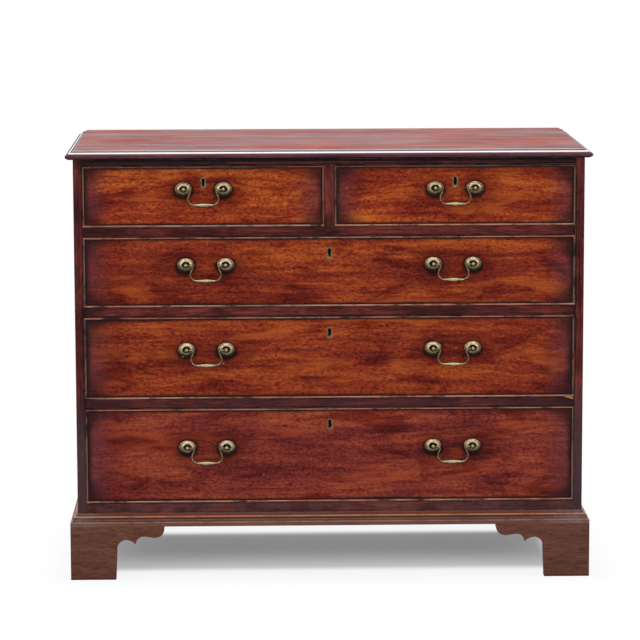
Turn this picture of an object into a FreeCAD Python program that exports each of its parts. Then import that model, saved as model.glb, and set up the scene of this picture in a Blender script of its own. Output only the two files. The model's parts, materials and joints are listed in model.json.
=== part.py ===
import FreeCAD, Part
import os
import re

import Sketcher
from FreeCAD import Rotation, Vector

# A chest of two short and three long drawers on bracket feet.
# +X is to the right of the front, +Y towards the back and +Z up. The origin is on the floor,
# under the middle of the whole chest. Lengths are in millimetres.

DRIVING = [
    # carcass
    ("carcass_width", 1040, "over the outer faces of the sides"),
    ("carcass_depth", 512, "front edge of the sides to the back boards' outer face"),
    ("side_thickness", 18, "carcass sides"),
    ("rail_thickness", 20, "rails between the rows of drawers"),
    ("rail_depth", 70, "rails, front to back"),
    ("top_rail_thickness", 14, "rails under the top board"),
    ("bottom_rail_thickness", 21, "bottom rail and bottom board"),
    ("divider_width", 20, "upright between the short drawers"),
    ("guide_height", 45, "drawer guide behind the divider"),
    ("dust_thickness", 14, "dust boards, level with the rails' upper faces"),
    ("housing_depth", 8, "how far rails and boards enter the sides"),
    ("divider_housing", 5, "how far the divider enters the rails"),
    ("housing_stop", 6, "these housings stop this far behind the carcass front"),
    ("row_one_height", 125, "opening of the short drawers"),
    ("row_two_height", 144.5, "opening of the upper long drawer"),
    ("row_three_height", 170, "opening of the middle long drawer"),
    ("row_four_height", 196.5, "opening of the lower long drawer"),
    ("back_thickness", 10, "back boards"),
    ("back_rebate", 9, "how far the back boards lap the sides"),
    ("board_gap", 0.6, "between neighbouring back boards"),
    ("nail_head_radius", 3.5, "back nails"),
    ("nail_head_depth", 1.2, "back nails, let in flush"),
    ("nail_radius", 1.3, "shank of a back nail"),
    ("nail_length", 30, "whole back nail"),
    ("nail_margin", 45, "from a board's edge to its nail"),
    # top board
    ("top_thickness", 18, "top board"),
    ("front_overhang", 17.5, "top board past the carcass front"),
    ("side_overhang", 15, "top board past each side"),
    ("edge_nose_inset", 5.2, "underside stops this far inside the outermost edge"),
    ("edge_nose_lift", 1.2, "nose starts this far above the underside"),
    ("edge_nose_level", 6.7, "outermost edge above the underside"),
    ("edge_nose_lower_radius", 5.5, "nose below its outermost edge"),
    ("edge_nose_upper_radius", 3.36, "nose above its outermost edge"),
    ("edge_step_inset", 3.4, "nose ends this far in"),
    ("edge_step_level", 9.7, "nose ends this far above the underside"),
    ("edge_fillet_inset", 4.8, "foot of the ovolo"),
    ("edge_ovolo_level", 10.6, "ovolo starts this far above the underside"),
    ("edge_ovolo_radius", 16, "ovolo"),
    ("edge_field_inset", 16.5, "flat field starts this far in"),
    ("edge_quirk_depth", 2.4, "step from the field down to the ovolo"),
    # plinth and feet
    ("foot_height", 111, "bracket feet"),
    ("plinth_thickness", 26, "moulded plinth frame"),
    ("plinth_projection", 15, "plinth and feet past the carcass"),
    ("plinth_frame_width", 60, "plinth frame, outer edge to inner edge"),
    ("plinth_fillet_height", 8, "square lower edge of the plinth moulding"),
    ("plinth_cove_inset", 1.7, "top of the square edge, front to back"),
    ("plinth_cove_top_inset", 5.4, "cove ends this far in"),
    ("plinth_cove_top", 14, "cove ends this far up"),
    ("plinth_cove_radius", 6.2, "cove"),
    ("plinth_arris_height", 1.4, "small upright above the cove"),
    ("plinth_ovolo_inset", 10, "ovolo ends this far in"),
    ("plinth_ovolo_top", 20.2, "ovolo ends this far up"),
    ("plinth_ovolo_radius", 5.4, "ovolo"),
    ("plinth_quirk_inset", 11.8, "quirk above the ovolo"),
    ("plinth_bead_base", 21.0, "bead starts this far up"),
    ("plinth_bead_radius", 5.6, "bead that meets the carcass"),
    ("foot_thickness", 22, "bracket boards"),
    ("foot_pad_width", 93, "standing width of a foot"),
    ("foot_length", 193, "whole bracket"),
    ("scroll_spring_run", 95.5, "where the first arch springs"),
    ("scroll_spring_drop", 49, "where the first arch springs, below the plinth"),
    ("scroll_arch_run", 113, "crown of the first arch"),
    ("scroll_arch_drop", 27.5, "crown of the first arch, below the plinth"),
    ("scroll_arch_radius", 20.5, "first arch"),
    ("scroll_cusp_run", 134, "point of the cusp"),
    ("scroll_cusp_drop", 37, "point of the cusp, below the plinth"),
    ("scroll_fall_radius", 28, "from the first arch down to the cusp"),
    ("scroll_second_run", 150, "crown of the second arch"),
    ("scroll_second_drop", 21, "crown of the second arch, below the plinth"),
    ("scroll_second_radius", 16.2, "second arch"),
    ("scroll_lobe_run", 175, "lowest point of the lobe"),
    ("scroll_lobe_drop", 23.5, "lowest point of the lobe, below the plinth"),
    ("scroll_wave_radius", 63, "ogee from the second arch to the lobe"),
    ("scroll_lobe_radius", 18.2, "lobe"),
    ("scroll_end_drop", 3, "end of the lobe, below the plinth"),
    ("rear_foot_length", 150, "plain rear bracket at its top"),
    ("block_size", 40, "upright glue block in each foot"),
    ("block_lift", 12, "glue block stops this far above the floor"),
    ("batten_size", 24, "glue batten behind each bracket"),
    ("batten_length", 90, "glue batten behind each bracket"),
    # drawers
    ("side_gap", 0.9, "drawer to carcass side"),
    ("bead_gap", 0.8, "cockbead to the rails above and below"),
    ("running_gap", 0.3, "drawer side to the board it runs on"),
    ("rear_clearance", 9, "closed drawer to the back boards"),
    ("face_recess", 1.5, "drawer face behind the carcass front"),
    ("front_thickness", 20, "drawer fronts"),
    ("bead_thickness", 3.2, "cockbead strip"),
    ("bead_cover", 1, "wood between a cockbead and the dovetails behind it"),
    ("bead_projection", 3, "cockbead past the drawer face"),
    ("bead_round", 1.4, "rounding of the cockbead's nose"),
    ("lining_thickness", 10, "drawer sides and back"),
    ("lining_top_gap", 5, "drawer sides below the opening's top"),
    ("back_top_gap", 11, "drawer back below the opening's top"),
    ("tail_length", 10, "front dovetails"),
    ("pin_width", 7, "narrow end of a dovetail pin"),
    ("tail_flare", 2.6, "a tail widens by this much on each edge"),
    ("bottom_thickness", 7, "drawer bottoms"),
    ("bottom_lift", 9, "drawer bottom above the side's lower edge"),
    ("groove_depth", 5, "groove that holds the drawer bottom"),
    ("stop_width", 45, "drawer stop"),
    ("stop_length", 25, "drawer stop"),
    ("stop_height", 6, "drawer stop"),
    ("stop_gap", 0.3, "drawer front to its stop"),
    ("stop_margin", 90, "stop from the end of the opening"),
    # locks
    ("key_drop", 34, "keyhole thread's middle below the drawer's top edge"),
    ("key_pitch", 11, "keyhole's round middle to the slot's end middle"),
    ("key_round_radius", 2.75, "round part of the keyhole"),
    ("key_slot_width", 3.8, "slot of the keyhole"),
    ("thread_top_radius", 5.9, "keyhole thread, upper end"),
    ("thread_foot_radius", 6.2, "keyhole thread, lower end"),
    ("thread_waist", 9, "keyhole thread, waist"),
    ("thread_depth", 4, "keyhole thread let into the front"),
    ("nut_space", 2, "lock's cover plate to the nuts beside it"),
    ("lock_height", 48, "lock case"),
    ("lock_depth", 9, "lock case let into the front"),
    ("lock_plate", 1.5, "lock's cover plate behind the front"),
    ("plate_margin", 5, "cover plate past the case"),
    ("bolt_width", 20, "lock bolt"),
    ("bolt_thickness", 5, "lock bolt"),
    ("bolt_length", 30, "lock bolt"),
    ("bolt_clearance", 0.4, "all round the lock bolt"),
    ("bolt_throw", 8, "travel of the lock bolt"),
    ("mortise_clearance", 1, "all round the thrown bolt"),
    ("screw_head_radius", 2.4, "lock screws"),
    ("screw_radius", 1.3, "lock screws"),
    ("screw_length", 9, "lock screws"),
    ("screw_head_height", 1.0, "lock screws"),
    # handles
    ("handle_drop_one", 47, "posts below the drawer's top edge, short drawers"),
    ("handle_drop_two", 57, "posts below the drawer's top edge, upper long drawer"),
    ("handle_drop_three", 67, "posts below the drawer's top edge, middle long drawer"),
    ("handle_drop_four", 80, "posts below the drawer's top edge, lower long drawer"),
    ("handle_spread", 252.5, "long drawer's middle to each handle's middle"),
    ("post_spacing", 81, "between the two posts of a handle"),
    ("rose_half_width", 17.2, "oval rose"),
    ("rose_half_height", 13.8, "oval rose"),
    ("rose_dome", 6, "rise of the rose"),
    ("rose_dish_radius", 12, "hollow round the post"),
    ("rose_dish_depth", 3.2, "hollow round the post"),
    ("post_standoff", 13.5, "pivot in front of the drawer face"),
    ("head_radius", 5, "ball head of a post"),
    ("neck_radius", 2.7, "post behind its head"),
    ("collar_radius", 4.3, "collar that presses on the rose"),
    ("collar_thickness", 1.8, "collar that presses on the rose"),
    ("shank_radius", 2.2, "post through the drawer front"),
    ("shank_tail", 6, "post past the inside of the front"),
    ("shank_clearance", 0.15, "hole round the shank"),
    ("nut_width", 11, "square nut"),
    ("nut_thickness", 4, "square nut"),
    ("pivot_radius", 1.5, "bail's pin in the post head"),
    ("pivot_clearance", 0.1, "hole round the pin"),
    ("pivot_end_gap", 0.7, "pin's end short of the head's middle"),
    ("wire_radius", 1.8, "bail"),
    ("wire_gap", 0.5, "full bail wire short of the head"),
    ("bail_drop", 31.7, "pivot down to the grip's middle line"),
    ("neck_reach", 14.5, "bail's swan neck, in from the post"),
    ("neck_bend_radius", 4.6, "upper bend of the neck"),
    ("bail_reach", 9.2, "widest part of the bail, in from the post"),
    ("bail_bend_radius", 10.2, "lower bend of the bail"),
    ("grip_radius", 4.4, "thickest part of the grip"),
    ("grip_margin", 3.1, "swelling of the grip short of the lower bend"),
    # modelling
    ("proud", 1, "how far a cutting shape stands past what it cuts"),
]

DERIVED = [
    ("case_bottom", "foot_height + plinth_thickness"),
    ("floor_four", "case_bottom + bottom_rail_thickness"),
    ("floor_three", "floor_four + row_four_height + rail_thickness"),
    ("floor_two", "floor_three + row_three_height + rail_thickness"),
    ("floor_one", "floor_two + row_two_height + rail_thickness"),
    ("case_ceiling", "floor_one + row_one_height"),
    ("case_top", "case_ceiling + top_rail_thickness"),
    ("overall_height", "case_top + top_thickness"),
    ("overall_depth", "carcass_depth + front_overhang"),
    ("back_plane", "overall_depth / 2"),
    ("front_plane", "back_plane - carcass_depth"),
    ("back_inner", "back_plane - back_thickness"),
    ("rail_rear", "front_plane + rail_depth"),
    ("case_half", "carcass_width / 2"),
    ("opening_half", "case_half - side_thickness"),
    ("housed_half", "opening_half + housing_depth"),
    ("plinth_half", "case_half + plinth_projection"),
    ("plinth_front", "front_plane - plinth_projection"),
    ("face_plane", "front_plane + face_recess"),
    ("front_rear", "face_plane + front_thickness"),
    ("drawer_rear", "back_inner - rear_clearance"),
    ("lining_front", "front_rear - tail_length"),
    ("bead_depth", "front_thickness - tail_length - bead_cover"),
    ("long_half", "opening_half - side_gap"),
    ("short_half", "(opening_half - divider_width / 2) / 2 - side_gap"),
    ("short_centre", "(opening_half + divider_width / 2) / 2"),
    ("lock_width", "post_spacing - nut_width - 2 * plate_margin - 2 * nut_space"),
    ("bolt_plane", "front_rear - lock_depth / 2"),
    ("pivot_plane", "face_plane - post_standoff"),
    ("neck_inset", "post_spacing / 2 - neck_reach"),
    ("bail_half_width", "post_spacing / 2 - bail_reach"),
    ("grip_half_length", "bail_half_width - bail_bend_radius - grip_margin"),
]

ALIASES = {alias for alias, *_ in DRIVING + DERIVED}

# name, middle, half width, floor, opening height, drop to the posts, handle middles, dovetails
DRAWERS = [
    ("drawer_top_left", "-short_centre", "short_half", "floor_one", "row_one_height",
     "handle_drop_one", ["-short_centre"], 3),
    ("drawer_top_right", "short_centre", "short_half", "floor_one", "row_one_height",
     "handle_drop_one", ["short_centre"], 3),
    ("drawer_upper", "0", "long_half", "floor_two", "row_two_height",
     "handle_drop_two", ["-handle_spread", "handle_spread"], 3),
    ("drawer_middle", "0", "long_half", "floor_three", "row_three_height",
     "handle_drop_three", ["-handle_spread", "handle_spread"], 4),
    ("drawer_lower", "0", "long_half", "floor_four", "row_four_height",
     "handle_drop_four", ["-handle_spread", "handle_spread"], 4),
]

BACK_BOARDS = 3
LEFT = -1
RIGHT = 1

doc = FreeCAD.newDocument("chest")
sheet = doc.addObject("Spreadsheet::Sheet", "Dim")


# ---------------------------------------------------------------- the sheet and its expressions

def fill_sheet():
    """Write every driving dimension, then every level worked out from them."""
    line = 1
    for alias, number, meaning in DRIVING:
        sheet.set(f"A{line}", alias)
        sheet.set(f"B{line}", str(number))
        sheet.set(f"C{line}", meaning)
        sheet.setAlias(f"B{line}", alias)
        line += 1
    for alias, formula in DERIVED:
        sheet.set(f"A{line}", alias)
        sheet.set(f"B{line}", "=" + formula)
        sheet.setAlias(f"B{line}", alias)
        line += 1
    doc.recompute()


def bound(formula):
    """Turn a formula in plain aliases into an expression on the sheet."""
    return re.sub(r"[a-z_]+", lambda word: "Dim." + word.group() if word.group() in ALIASES
                  else word.group(), str(formula))


def value(formula):
    """The present number of a formula."""
    return float(sheet.evalExpression(bound(formula)))


def place(item, x=None, y=None, z=None):
    """Bind an object's position; an axis left out stays where it is."""
    for axis, formula in (("x", x), ("y", y), ("z", z)):
        if formula is not None:
            item.setExpression("Placement.Base." + axis, bound(formula))
    return item


# ---------------------------------------------------------------- shapes

def box(name, x, y, z):
    """A board from its low and high formula on each axis."""
    board = doc.addObject("Part::Box", name)
    for size, (low, high) in (("Length", x), ("Width", y), ("Height", z)):
        board.setExpression(size, bound(f"({high}) - ({low})"))
    return place(board, x[0], y[0], z[0])


def rod(name, radius, length, axis, x, y, z):
    """A cylinder that starts at a point and runs along axis, '+X', '-X', '+Y' or '-Y'."""
    turns = {"+X": Rotation(Vector(0, 1, 0), 90), "-X": Rotation(Vector(0, 1, 0), -90),
             "+Y": Rotation(Vector(1, 0, 0), -90), "-Y": Rotation(Vector(1, 0, 0), 90)}
    cylinder = doc.addObject("Part::Cylinder", name)
    cylinder.setExpression("Radius", bound(radius))
    cylinder.setExpression("Height", bound(length))
    cylinder.Placement.Rotation = turns[axis]
    return place(cylinder, x, y, z)


def group(name, items):
    """Several separate solids as one node or one tool."""
    compound = doc.addObject("Part::Compound", name)
    compound.Links = items
    return compound


def fused(name, items):
    """Solids joined into one."""
    fuse = doc.addObject("Part::MultiFuse", name)
    fuse.Shapes = items
    return fuse


def cut(name, base, tools):
    """A solid less its neighbours and recesses, so that what is let into it fits it exactly."""
    difference = doc.addObject("Part::Cut", name)
    difference.Base = base
    difference.Tool = tools[0] if len(tools) == 1 else group(name + "_recesses", tools)
    return difference


def common(name, first, second):
    """What two solids share."""
    shared = doc.addObject("Part::Common", name)
    shared.Base = first
    shared.Tool = second
    return shared


def mirrored(name, source):
    """A copy on the other side of the chest's middle."""
    copy = doc.addObject("Part::Mirroring", name)
    copy.Source = source
    copy.Normal = Vector(1, 0, 0)
    return copy


def origin_plane(body, role):
    """One of a body's own origin planes or axes."""
    return next(item for item in body.Origin.OriginFeatures if item.Role == role)


def add_sketch(body, name, plane):
    """A sketch on one of the body's origin planes."""
    sketch = body.newObject("Sketcher::SketchObject", name)
    sketch.AttachmentSupport = [(origin_plane(body, plane), "")]
    sketch.MapMode = "FlatFace"
    return sketch


def arc_between(start, end, radius, side):
    """The short arc of a radius between two points. Its middle is left of the way for side 1 and
    right of it for side -1. Returns the arc and whether it runs against the way."""
    chord = end - start
    half = chord.Length / 2
    reach = max(radius * radius - half * half, 0) ** 0.5
    left = Vector(-chord.y, chord.x, 0).normalize()
    middle = (start + end) / 2 + left * reach * side
    spokes = [point - middle for point in (start, end)]
    if side < 0:
        spokes.reverse()
    angles = [Vector(1, 0, 0).getAngle(spoke) * (1 if spoke.y >= 0 else -1) for spoke in spokes]
    circle = Part.Circle(middle, Vector(0, 0, 1), radius)
    return Part.ArcOfCircle(circle, angles[0], angles[1]), side < 0


def draw(sketch, corners, closed=True):
    """Draw an outline whose every corner is bound to the sheet.

    Each corner is (x, y) for a straight way to it, or (x, y, radius, side) for an arc to it."""
    points = [Vector(value(corner[0]), value(corner[1]), 0) for corner in corners]
    ways = list(range(0 if closed else 1, len(corners)))
    ends = []
    for way in ways:
        start, end, corner = points[way - 1], points[way], corners[way]
        if len(corner) == 2:
            index = sketch.addGeometry(Part.LineSegment(start, end))
            ends.append((index, 1, 2))
            continue
        arc, against = arc_between(start, end, value(corner[2]), corner[3])
        index = sketch.addGeometry(arc)
        ends.append((index, 2, 1) if against else (index, 1, 2))
        pin_down(sketch, Sketcher.Constraint("Radius", index, value(corner[2])), corner[2])
    for (index, _, tail), (following, nose, _) in zip(ends, ends[1:] + ends[:1] if closed else ends[1:]):
        sketch.addConstraint(Sketcher.Constraint("Coincident", index, tail, following, nose))
    bound_ends = [(index, tail, corners[way]) for (index, _, tail), way in zip(ends, ways)]
    if not closed:
        bound_ends.insert(0, (ends[0][0], ends[0][1], corners[0]))
    for index, tail, corner in bound_ends:
        for kind, formula in (("DistanceX", corner[0]), ("DistanceY", corner[1])):
            constraint = Sketcher.Constraint(kind, -1, 1, index, tail, value(formula))
            pin_down(sketch, constraint, formula)


def pin_down(sketch, constraint, formula):
    """Add a dimension and bind it to the sheet."""
    number = sketch.addConstraint(constraint)
    sketch.setExpression(f"Constraints[{number}]", bound(formula))


def padded(name, plane, corners, length, reverse=False):
    """A body: one outline on an origin plane, given a thickness along the plane's normal."""
    body = doc.addObject("PartDesign::Body", name)
    sketch = add_sketch(body, name + "_outline", plane)
    draw(sketch, corners)
    pad = body.newObject("PartDesign::Pad", name + "_pad")
    pad.Profile = sketch
    pad.Reversed = reverse
    pad.setExpression("Length", bound(length))
    return body


# ---------------------------------------------------------------- top board

def edge_outline(outer, sign):
    """The moulded edge from the underside up to the flat field; sign points inwards."""
    def corner(inset, level, *arc):
        return (f"{outer} + ({sign}) * ({inset})", f"case_top + {level}",
                *([arc[0], arc[1] * -sign] if arc else []))

    return [
        corner("edge_nose_inset", "0"),
        corner("edge_nose_inset", "edge_nose_lift"),
        corner("0", "edge_nose_level", "edge_nose_lower_radius", 1),
        corner("edge_step_inset", "edge_step_level", "edge_nose_upper_radius", 1),
        corner("edge_fillet_inset", "edge_step_level"),
        corner("edge_fillet_inset", "edge_ovolo_level"),
        corner("edge_field_inset", "top_thickness - edge_quirk_depth", "edge_ovolo_radius", 1),
        corner("edge_field_inset", "top_thickness"),
    ]


def reversed_outline(corners):
    """The same outline walked the other way, with each arc moved to its new end."""
    backwards = []
    for index in range(len(corners) - 1, -1, -1):
        arc_source = corners[index + 1] if index + 1 < len(corners) else ()
        arc = [arc_source[2], -arc_source[3]] if len(arc_source) > 2 else []
        backwards.append((corners[index][0], corners[index][1], *arc))
    return backwards


def make_top_board():
    """A board moulded along its front, with a strip moulded the other way at each end. The strips
    meet the front's moulding in a mitre and are one with the board."""
    front_edge = edge_outline("(front_plane - front_overhang)", 1)
    along = padded("top_front_moulded", "YZ_Plane",
                   [("back_plane", "case_top")] + front_edge + [("back_plane", "overall_height")],
                   "2 * (case_half + side_overhang)")
    place(along, x="-(case_half + side_overhang)")
    left_edge = edge_outline("-(case_half + side_overhang)", 1)
    right_edge = reversed_outline(edge_outline("(case_half + side_overhang)", -1))
    across = padded("top_ends_moulded", "XZ_Plane", left_edge + right_edge, "overall_depth")
    place(across, y="back_plane")
    corner = ("-(case_half + side_overhang)", "front_plane - front_overhang")
    inner = f"{corner[0]} + 2 * edge_field_inset"
    strip = padded("top_end_strip", "XY_Plane",
                   [(f"{corner[0]} - proud", f"{corner[1]} - proud"),
                    (inner, f"{corner[1]} + 2 * edge_field_inset"),
                    (inner, "back_plane + proud"),
                    (f"{corner[0]} - proud", "back_plane + proud")],
                   "top_thickness + 2 * proud")
    place(strip, z="case_top - proud")
    middle = cut("top_middle", along, [strip, mirrored("top_end_strip_right", strip)])
    end = common("top_end", across, strip)
    board = fused("top_board", [middle, end, mirrored("top_end_right", end)])
    board.Refine = True
    return board


# ---------------------------------------------------------------- carcass

def make_rails():
    """Front rails, each with its mortises for the bolts of the locks below it. Their ends, and the
    divider's, are notched, so that no housing shows on the carcass front."""
    across = ("-housed_half", "housed_half")
    deep = ("front_plane", "rail_rear")
    notch_deep = ("front_plane - proud", "front_plane + housing_stop")
    notch_rise = ("case_bottom - proud", "case_top + proud")
    ends = [box("rail_notch_left", ("-housed_half - proud", "-opening_half"), notch_deep, notch_rise),
            box("rail_notch_right", ("opening_half", "housed_half + proud"), notch_deep, notch_rise)]
    divider = make_divider(deep, notch_deep)
    top_front = cut("top_rail_front", box("top_rail_blank", across, deep, ("case_ceiling", "case_top")),
                    ends + [divider] + [bolt_mortise(row) for row in DRAWERS[:2]])
    top_rear = box("top_rail_rear", across, ("back_inner - rail_depth", "back_inner"),
                   ("case_ceiling", "case_top"))
    upper = cut("drawer_rail_upper", box("upper_rail_blank", across, deep,
                                         ("floor_one - rail_thickness", "floor_one")),
                ends + [divider, bolt_mortise(DRAWERS[2])])
    middle = cut("drawer_rail_middle", box("middle_rail_blank", across, deep,
                                           ("floor_two - rail_thickness", "floor_two")),
                 ends + [bolt_mortise(DRAWERS[3])])
    lower = cut("drawer_rail_lower", box("lower_rail_blank", across, deep,
                                         ("floor_three - rail_thickness", "floor_three")),
                ends + [bolt_mortise(DRAWERS[4])])
    bottom = cut("bottom_rail", box("bottom_rail_blank", across, deep, ("case_bottom", "floor_four")), ends)
    guide = box("guide", ("-divider_width / 2", "divider_width / 2"), ("rail_rear", "back_inner"),
                ("floor_one", "floor_one + guide_height"))
    return {
        "top_rails": group("top_rails", [top_front, top_rear]),
        "drawer_rail_upper": upper,
        "drawer_rail_middle": middle,
        "drawer_rail_lower": lower,
        "bottom_rail": bottom,
        "centre_divider": group("centre_divider", [divider, guide]),
    }


def make_divider(deep, notch_deep):
    """The upright between the short drawers, let into the rails above and below it."""
    across = ("-divider_width / 2", "divider_width / 2")
    wide = ("-divider_width / 2 - proud", "divider_width / 2 + proud")
    blank = box("divider_blank", across, deep,
                ("floor_one - divider_housing", "case_ceiling + divider_housing"))
    foot = box("divider_foot_notch", wide, notch_deep, ("floor_one - divider_housing - proud", "floor_one"))
    head = box("divider_head_notch", wide, notch_deep,
               ("case_ceiling", "case_ceiling + divider_housing + proud"))
    return cut("divider", blank, [foot, head])


def bolt_mortise(row):
    """The recess that a thrown lock bolt enters."""
    name, centre, _, floor, height, *_ = row
    ceiling = f"{floor} + {height}"
    reach = "bolt_width / 2 + mortise_clearance"
    thick = "bolt_thickness / 2 + mortise_clearance"
    return box(name + "_mortise", (f"{centre} - ({reach})", f"{centre} + {reach}"),
               (f"bolt_plane - ({thick})", f"bolt_plane + {thick}"),
               (ceiling, f"{ceiling} - bead_gap + bolt_throw + mortise_clearance"))


def make_inner_boards():
    """Dust boards, level with the rails, and the carcass bottom."""
    across = ("-housed_half", "housed_half")
    deep = ("rail_rear", "back_inner")
    dust = [box("dust_" + floor, across, deep, (floor + " - dust_thickness", floor))
            for floor in ("floor_one", "floor_two", "floor_three")]
    bottom = box("bottom_board", across, deep, ("case_bottom", "floor_four"))
    return {"dust_boards": group("dust_boards", dust), "bottom_board": bottom}


def make_back():
    """Horizontal back boards in the sides' rebates, and their nails, which go on into the sides."""
    pitch = f"((case_top - case_bottom + board_gap) / {BACK_BOARDS})"
    half = "(opening_half + back_rebate)"
    nails = []
    boards = []
    for number in range(BACK_BOARDS):
        low = f"case_bottom + {pitch} * {number}"
        high = f"{low} + {pitch} - board_gap"
        own_nails = [make_nail(f"nail_{number}_{side}_{end}", side, level)
                     for side in (LEFT, RIGHT)
                     for end, level in (("low", f"{low} + nail_margin"), ("high", f"{high} - nail_margin"))]
        blank = box(f"back_board_{number}_blank", ("-" + half, half), ("back_inner", "back_plane"),
                    (low, high))
        boards.append(cut(f"back_board_{number}", blank, own_nails))
        nails += own_nails
    return {"back_boards": group("back_boards", boards), "back_nails": group("back_nails", nails)}


def make_nail(name, side, level):
    """One nail, driven forwards, its head let in flush."""
    middle = f"({side}) * (opening_half + back_rebate / 2)"
    head = rod(name + "_head", "nail_head_radius", "nail_head_depth", "-Y", middle, "back_plane", level)
    shank = rod(name + "_shank", "nail_radius", "nail_length", "-Y", middle, "back_plane", level)
    return fused(name, [head, shank])


def make_side(name, side, let_in):
    """A carcass side, housed for the rails and boards and rebated for the back."""
    if side < 0:
        across = ("-case_half", "-opening_half")
        rebate_across = ("-(opening_half + back_rebate)", "-opening_half + proud")
    else:
        across = ("opening_half", "case_half")
        rebate_across = ("opening_half - proud", "opening_half + back_rebate")
    blank = box(name + "_blank", across, ("front_plane", "back_plane"), ("case_bottom", "case_top"))
    rebate = box(name + "_rebate", rebate_across, ("back_inner", "back_plane + proud"),
                 ("case_bottom - proud", "case_top + proud"))
    return cut(name, cut(name + "_rebated", blank, [rebate]), let_in)


def make_stops():
    """Two stops behind each drawer front, on the rail that the drawer runs on."""
    stops = []
    for name, centre, half, floor, *_ in DRAWERS:
        for side in (LEFT, RIGHT):
            middle = f"{centre} + ({side}) * ({half} - stop_margin)"
            stops.append(box(f"{name}_stop_{side + 1}",
                             (f"{middle} - stop_width / 2", f"{middle} + stop_width / 2"),
                             ("front_rear + stop_gap", "front_rear + stop_gap + stop_length"),
                             (floor, f"{floor} + stop_height")))
    return group("drawer_stops", stops)


# ---------------------------------------------------------------- plinth and feet

def wedge(name, corner_x, corner_y, size, height, low, first):
    """The half of a corner square that a mitre takes off; first is the half nearer the side."""
    far = (f"{corner_x} + {size}", f"{corner_y} + {size}")
    third = (corner_x, f"{corner_y} + {size}") if first else (f"{corner_x} + {size}", corner_y)
    return place(padded(name, "XY_Plane", [(corner_x, corner_y), far, third], height), z=low)


def plinth_outline(outer, sign):
    """Section of a plinth frame piece, from its lower inner corner round to its upper one."""
    def corner(inset, rise, *arc):
        return (f"{outer} + ({sign}) * ({inset})", f"foot_height + {rise}",
                *([arc[0], arc[1] * -sign] if arc else []))

    return [
        corner("plinth_frame_width", "0"),
        corner("0", "0"),
        corner("0", "plinth_fillet_height"),
        corner("plinth_cove_inset", "plinth_fillet_height"),
        corner("plinth_cove_top_inset", "plinth_cove_top", "plinth_cove_radius", -1),
        corner("plinth_cove_top_inset", "plinth_cove_top + plinth_arris_height"),
        corner("plinth_ovolo_inset", "plinth_ovolo_top", "plinth_ovolo_radius", 1),
        corner("plinth_quirk_inset", "plinth_bead_base"),
        corner("plinth_projection", "plinth_thickness", "plinth_bead_radius", 1),
        corner("plinth_frame_width", "plinth_thickness"),
    ]


def make_plinth():
    """A frame under the carcass: moulded in front and at the sides, mitred, plain behind."""
    size = "plinth_frame_width"
    front = padded("plinth_front_strip", "YZ_Plane", plinth_outline("plinth_front", 1), "2 * plinth_half")
    place(front, x="-plinth_half")
    front_wedge = wedge("plinth_front_wedge", "-plinth_half", "plinth_front", size, "plinth_thickness",
                        "foot_height", True)
    front_piece = cut("plinth_front_piece", front,
                      [front_wedge, mirrored("plinth_front_wedge_right", front_wedge)])
    side = padded("plinth_side_strip", "XZ_Plane", plinth_outline("-plinth_half", 1),
                  "back_plane - plinth_front")
    place(side, y="back_plane")
    side_wedge = wedge("plinth_side_wedge", "-plinth_half", "plinth_front", size, "plinth_thickness",
                       "foot_height", False)
    left = cut("plinth_left_piece", side, [side_wedge])
    rear = box("plinth_rear_rail", ("-plinth_half + plinth_frame_width", "plinth_half - plinth_frame_width"),
               ("back_plane - plinth_frame_width", "back_plane"), ("foot_height", "case_bottom"))
    return group("plinth_mouldings", [front_piece, left, mirrored("plinth_right_piece", left), rear])


def scroll_outline(corner, sign):
    """A shaped bracket, seen square on: its outer corner on the floor is at corner."""
    def point(run, drop, *arc):
        return (f"{corner} + ({sign}) * ({run})", f"foot_height - ({drop})",
                *([arc[0], arc[1] * sign] if arc else []))

    wave_run = "(scroll_second_run + scroll_lobe_run) / 2"
    wave_drop = "(scroll_second_drop + scroll_lobe_drop) / 2"
    return [
        point("0", "foot_height"),
        point("foot_pad_width", "foot_height"),
        point("scroll_spring_run", "scroll_spring_drop"),
        point("scroll_arch_run", "scroll_arch_drop", "scroll_arch_radius", -1),
        point("scroll_cusp_run", "scroll_cusp_drop", "scroll_fall_radius", -1),
        point("scroll_second_run", "scroll_second_drop", "scroll_second_radius", -1),
        point(wave_run, wave_drop, "scroll_wave_radius", -1),
        point("scroll_lobe_run", "scroll_lobe_drop", "scroll_wave_radius", 1),
        point("foot_length", "scroll_end_drop", "scroll_lobe_radius", 1),
        point("foot_length", "0"),
        point("0", "0"),
    ]


def make_feet():
    """Front feet: two shaped brackets mitred together. Rear feet: a shaped side bracket and a
    plain one behind. The right feet mirror the left ones."""
    size = "foot_thickness"
    front = place(padded("foot_front_bracket", "XZ_Plane", scroll_outline("-plinth_half", 1), size, True),
                  y="plinth_front")
    front = cut("foot_front_left", front, [wedge("foot_front_wedge", "-plinth_half", "plinth_front", size,
                                                 "foot_height", "0", True)])
    side = place(padded("foot_side_bracket", "YZ_Plane", scroll_outline("plinth_front", 1), size),
                 x="-plinth_half")
    side = cut("foot_side_left", side, [wedge("foot_side_wedge", "-plinth_half", "plinth_front", size,
                                              "foot_height", "0", False)])
    rear_side = place(padded("foot_rear_bracket", "YZ_Plane", scroll_outline("back_plane", -1), size),
                      x="-plinth_half")
    rear_plain = padded("foot_rear_plain", "XZ_Plane", [
        ("-plinth_half + foot_thickness", "0"),
        ("-plinth_half + foot_pad_width", "0"),
        ("-plinth_half + rear_foot_length", "foot_height"),
        ("-plinth_half + foot_thickness", "foot_height"),
    ], size)
    place(rear_plain, y="back_plane")
    left = [front, side, rear_side, rear_plain]
    right = [mirrored(bracket.Name + "_right", bracket) for bracket in left]
    return group("bracket_feet", left + right)


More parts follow.
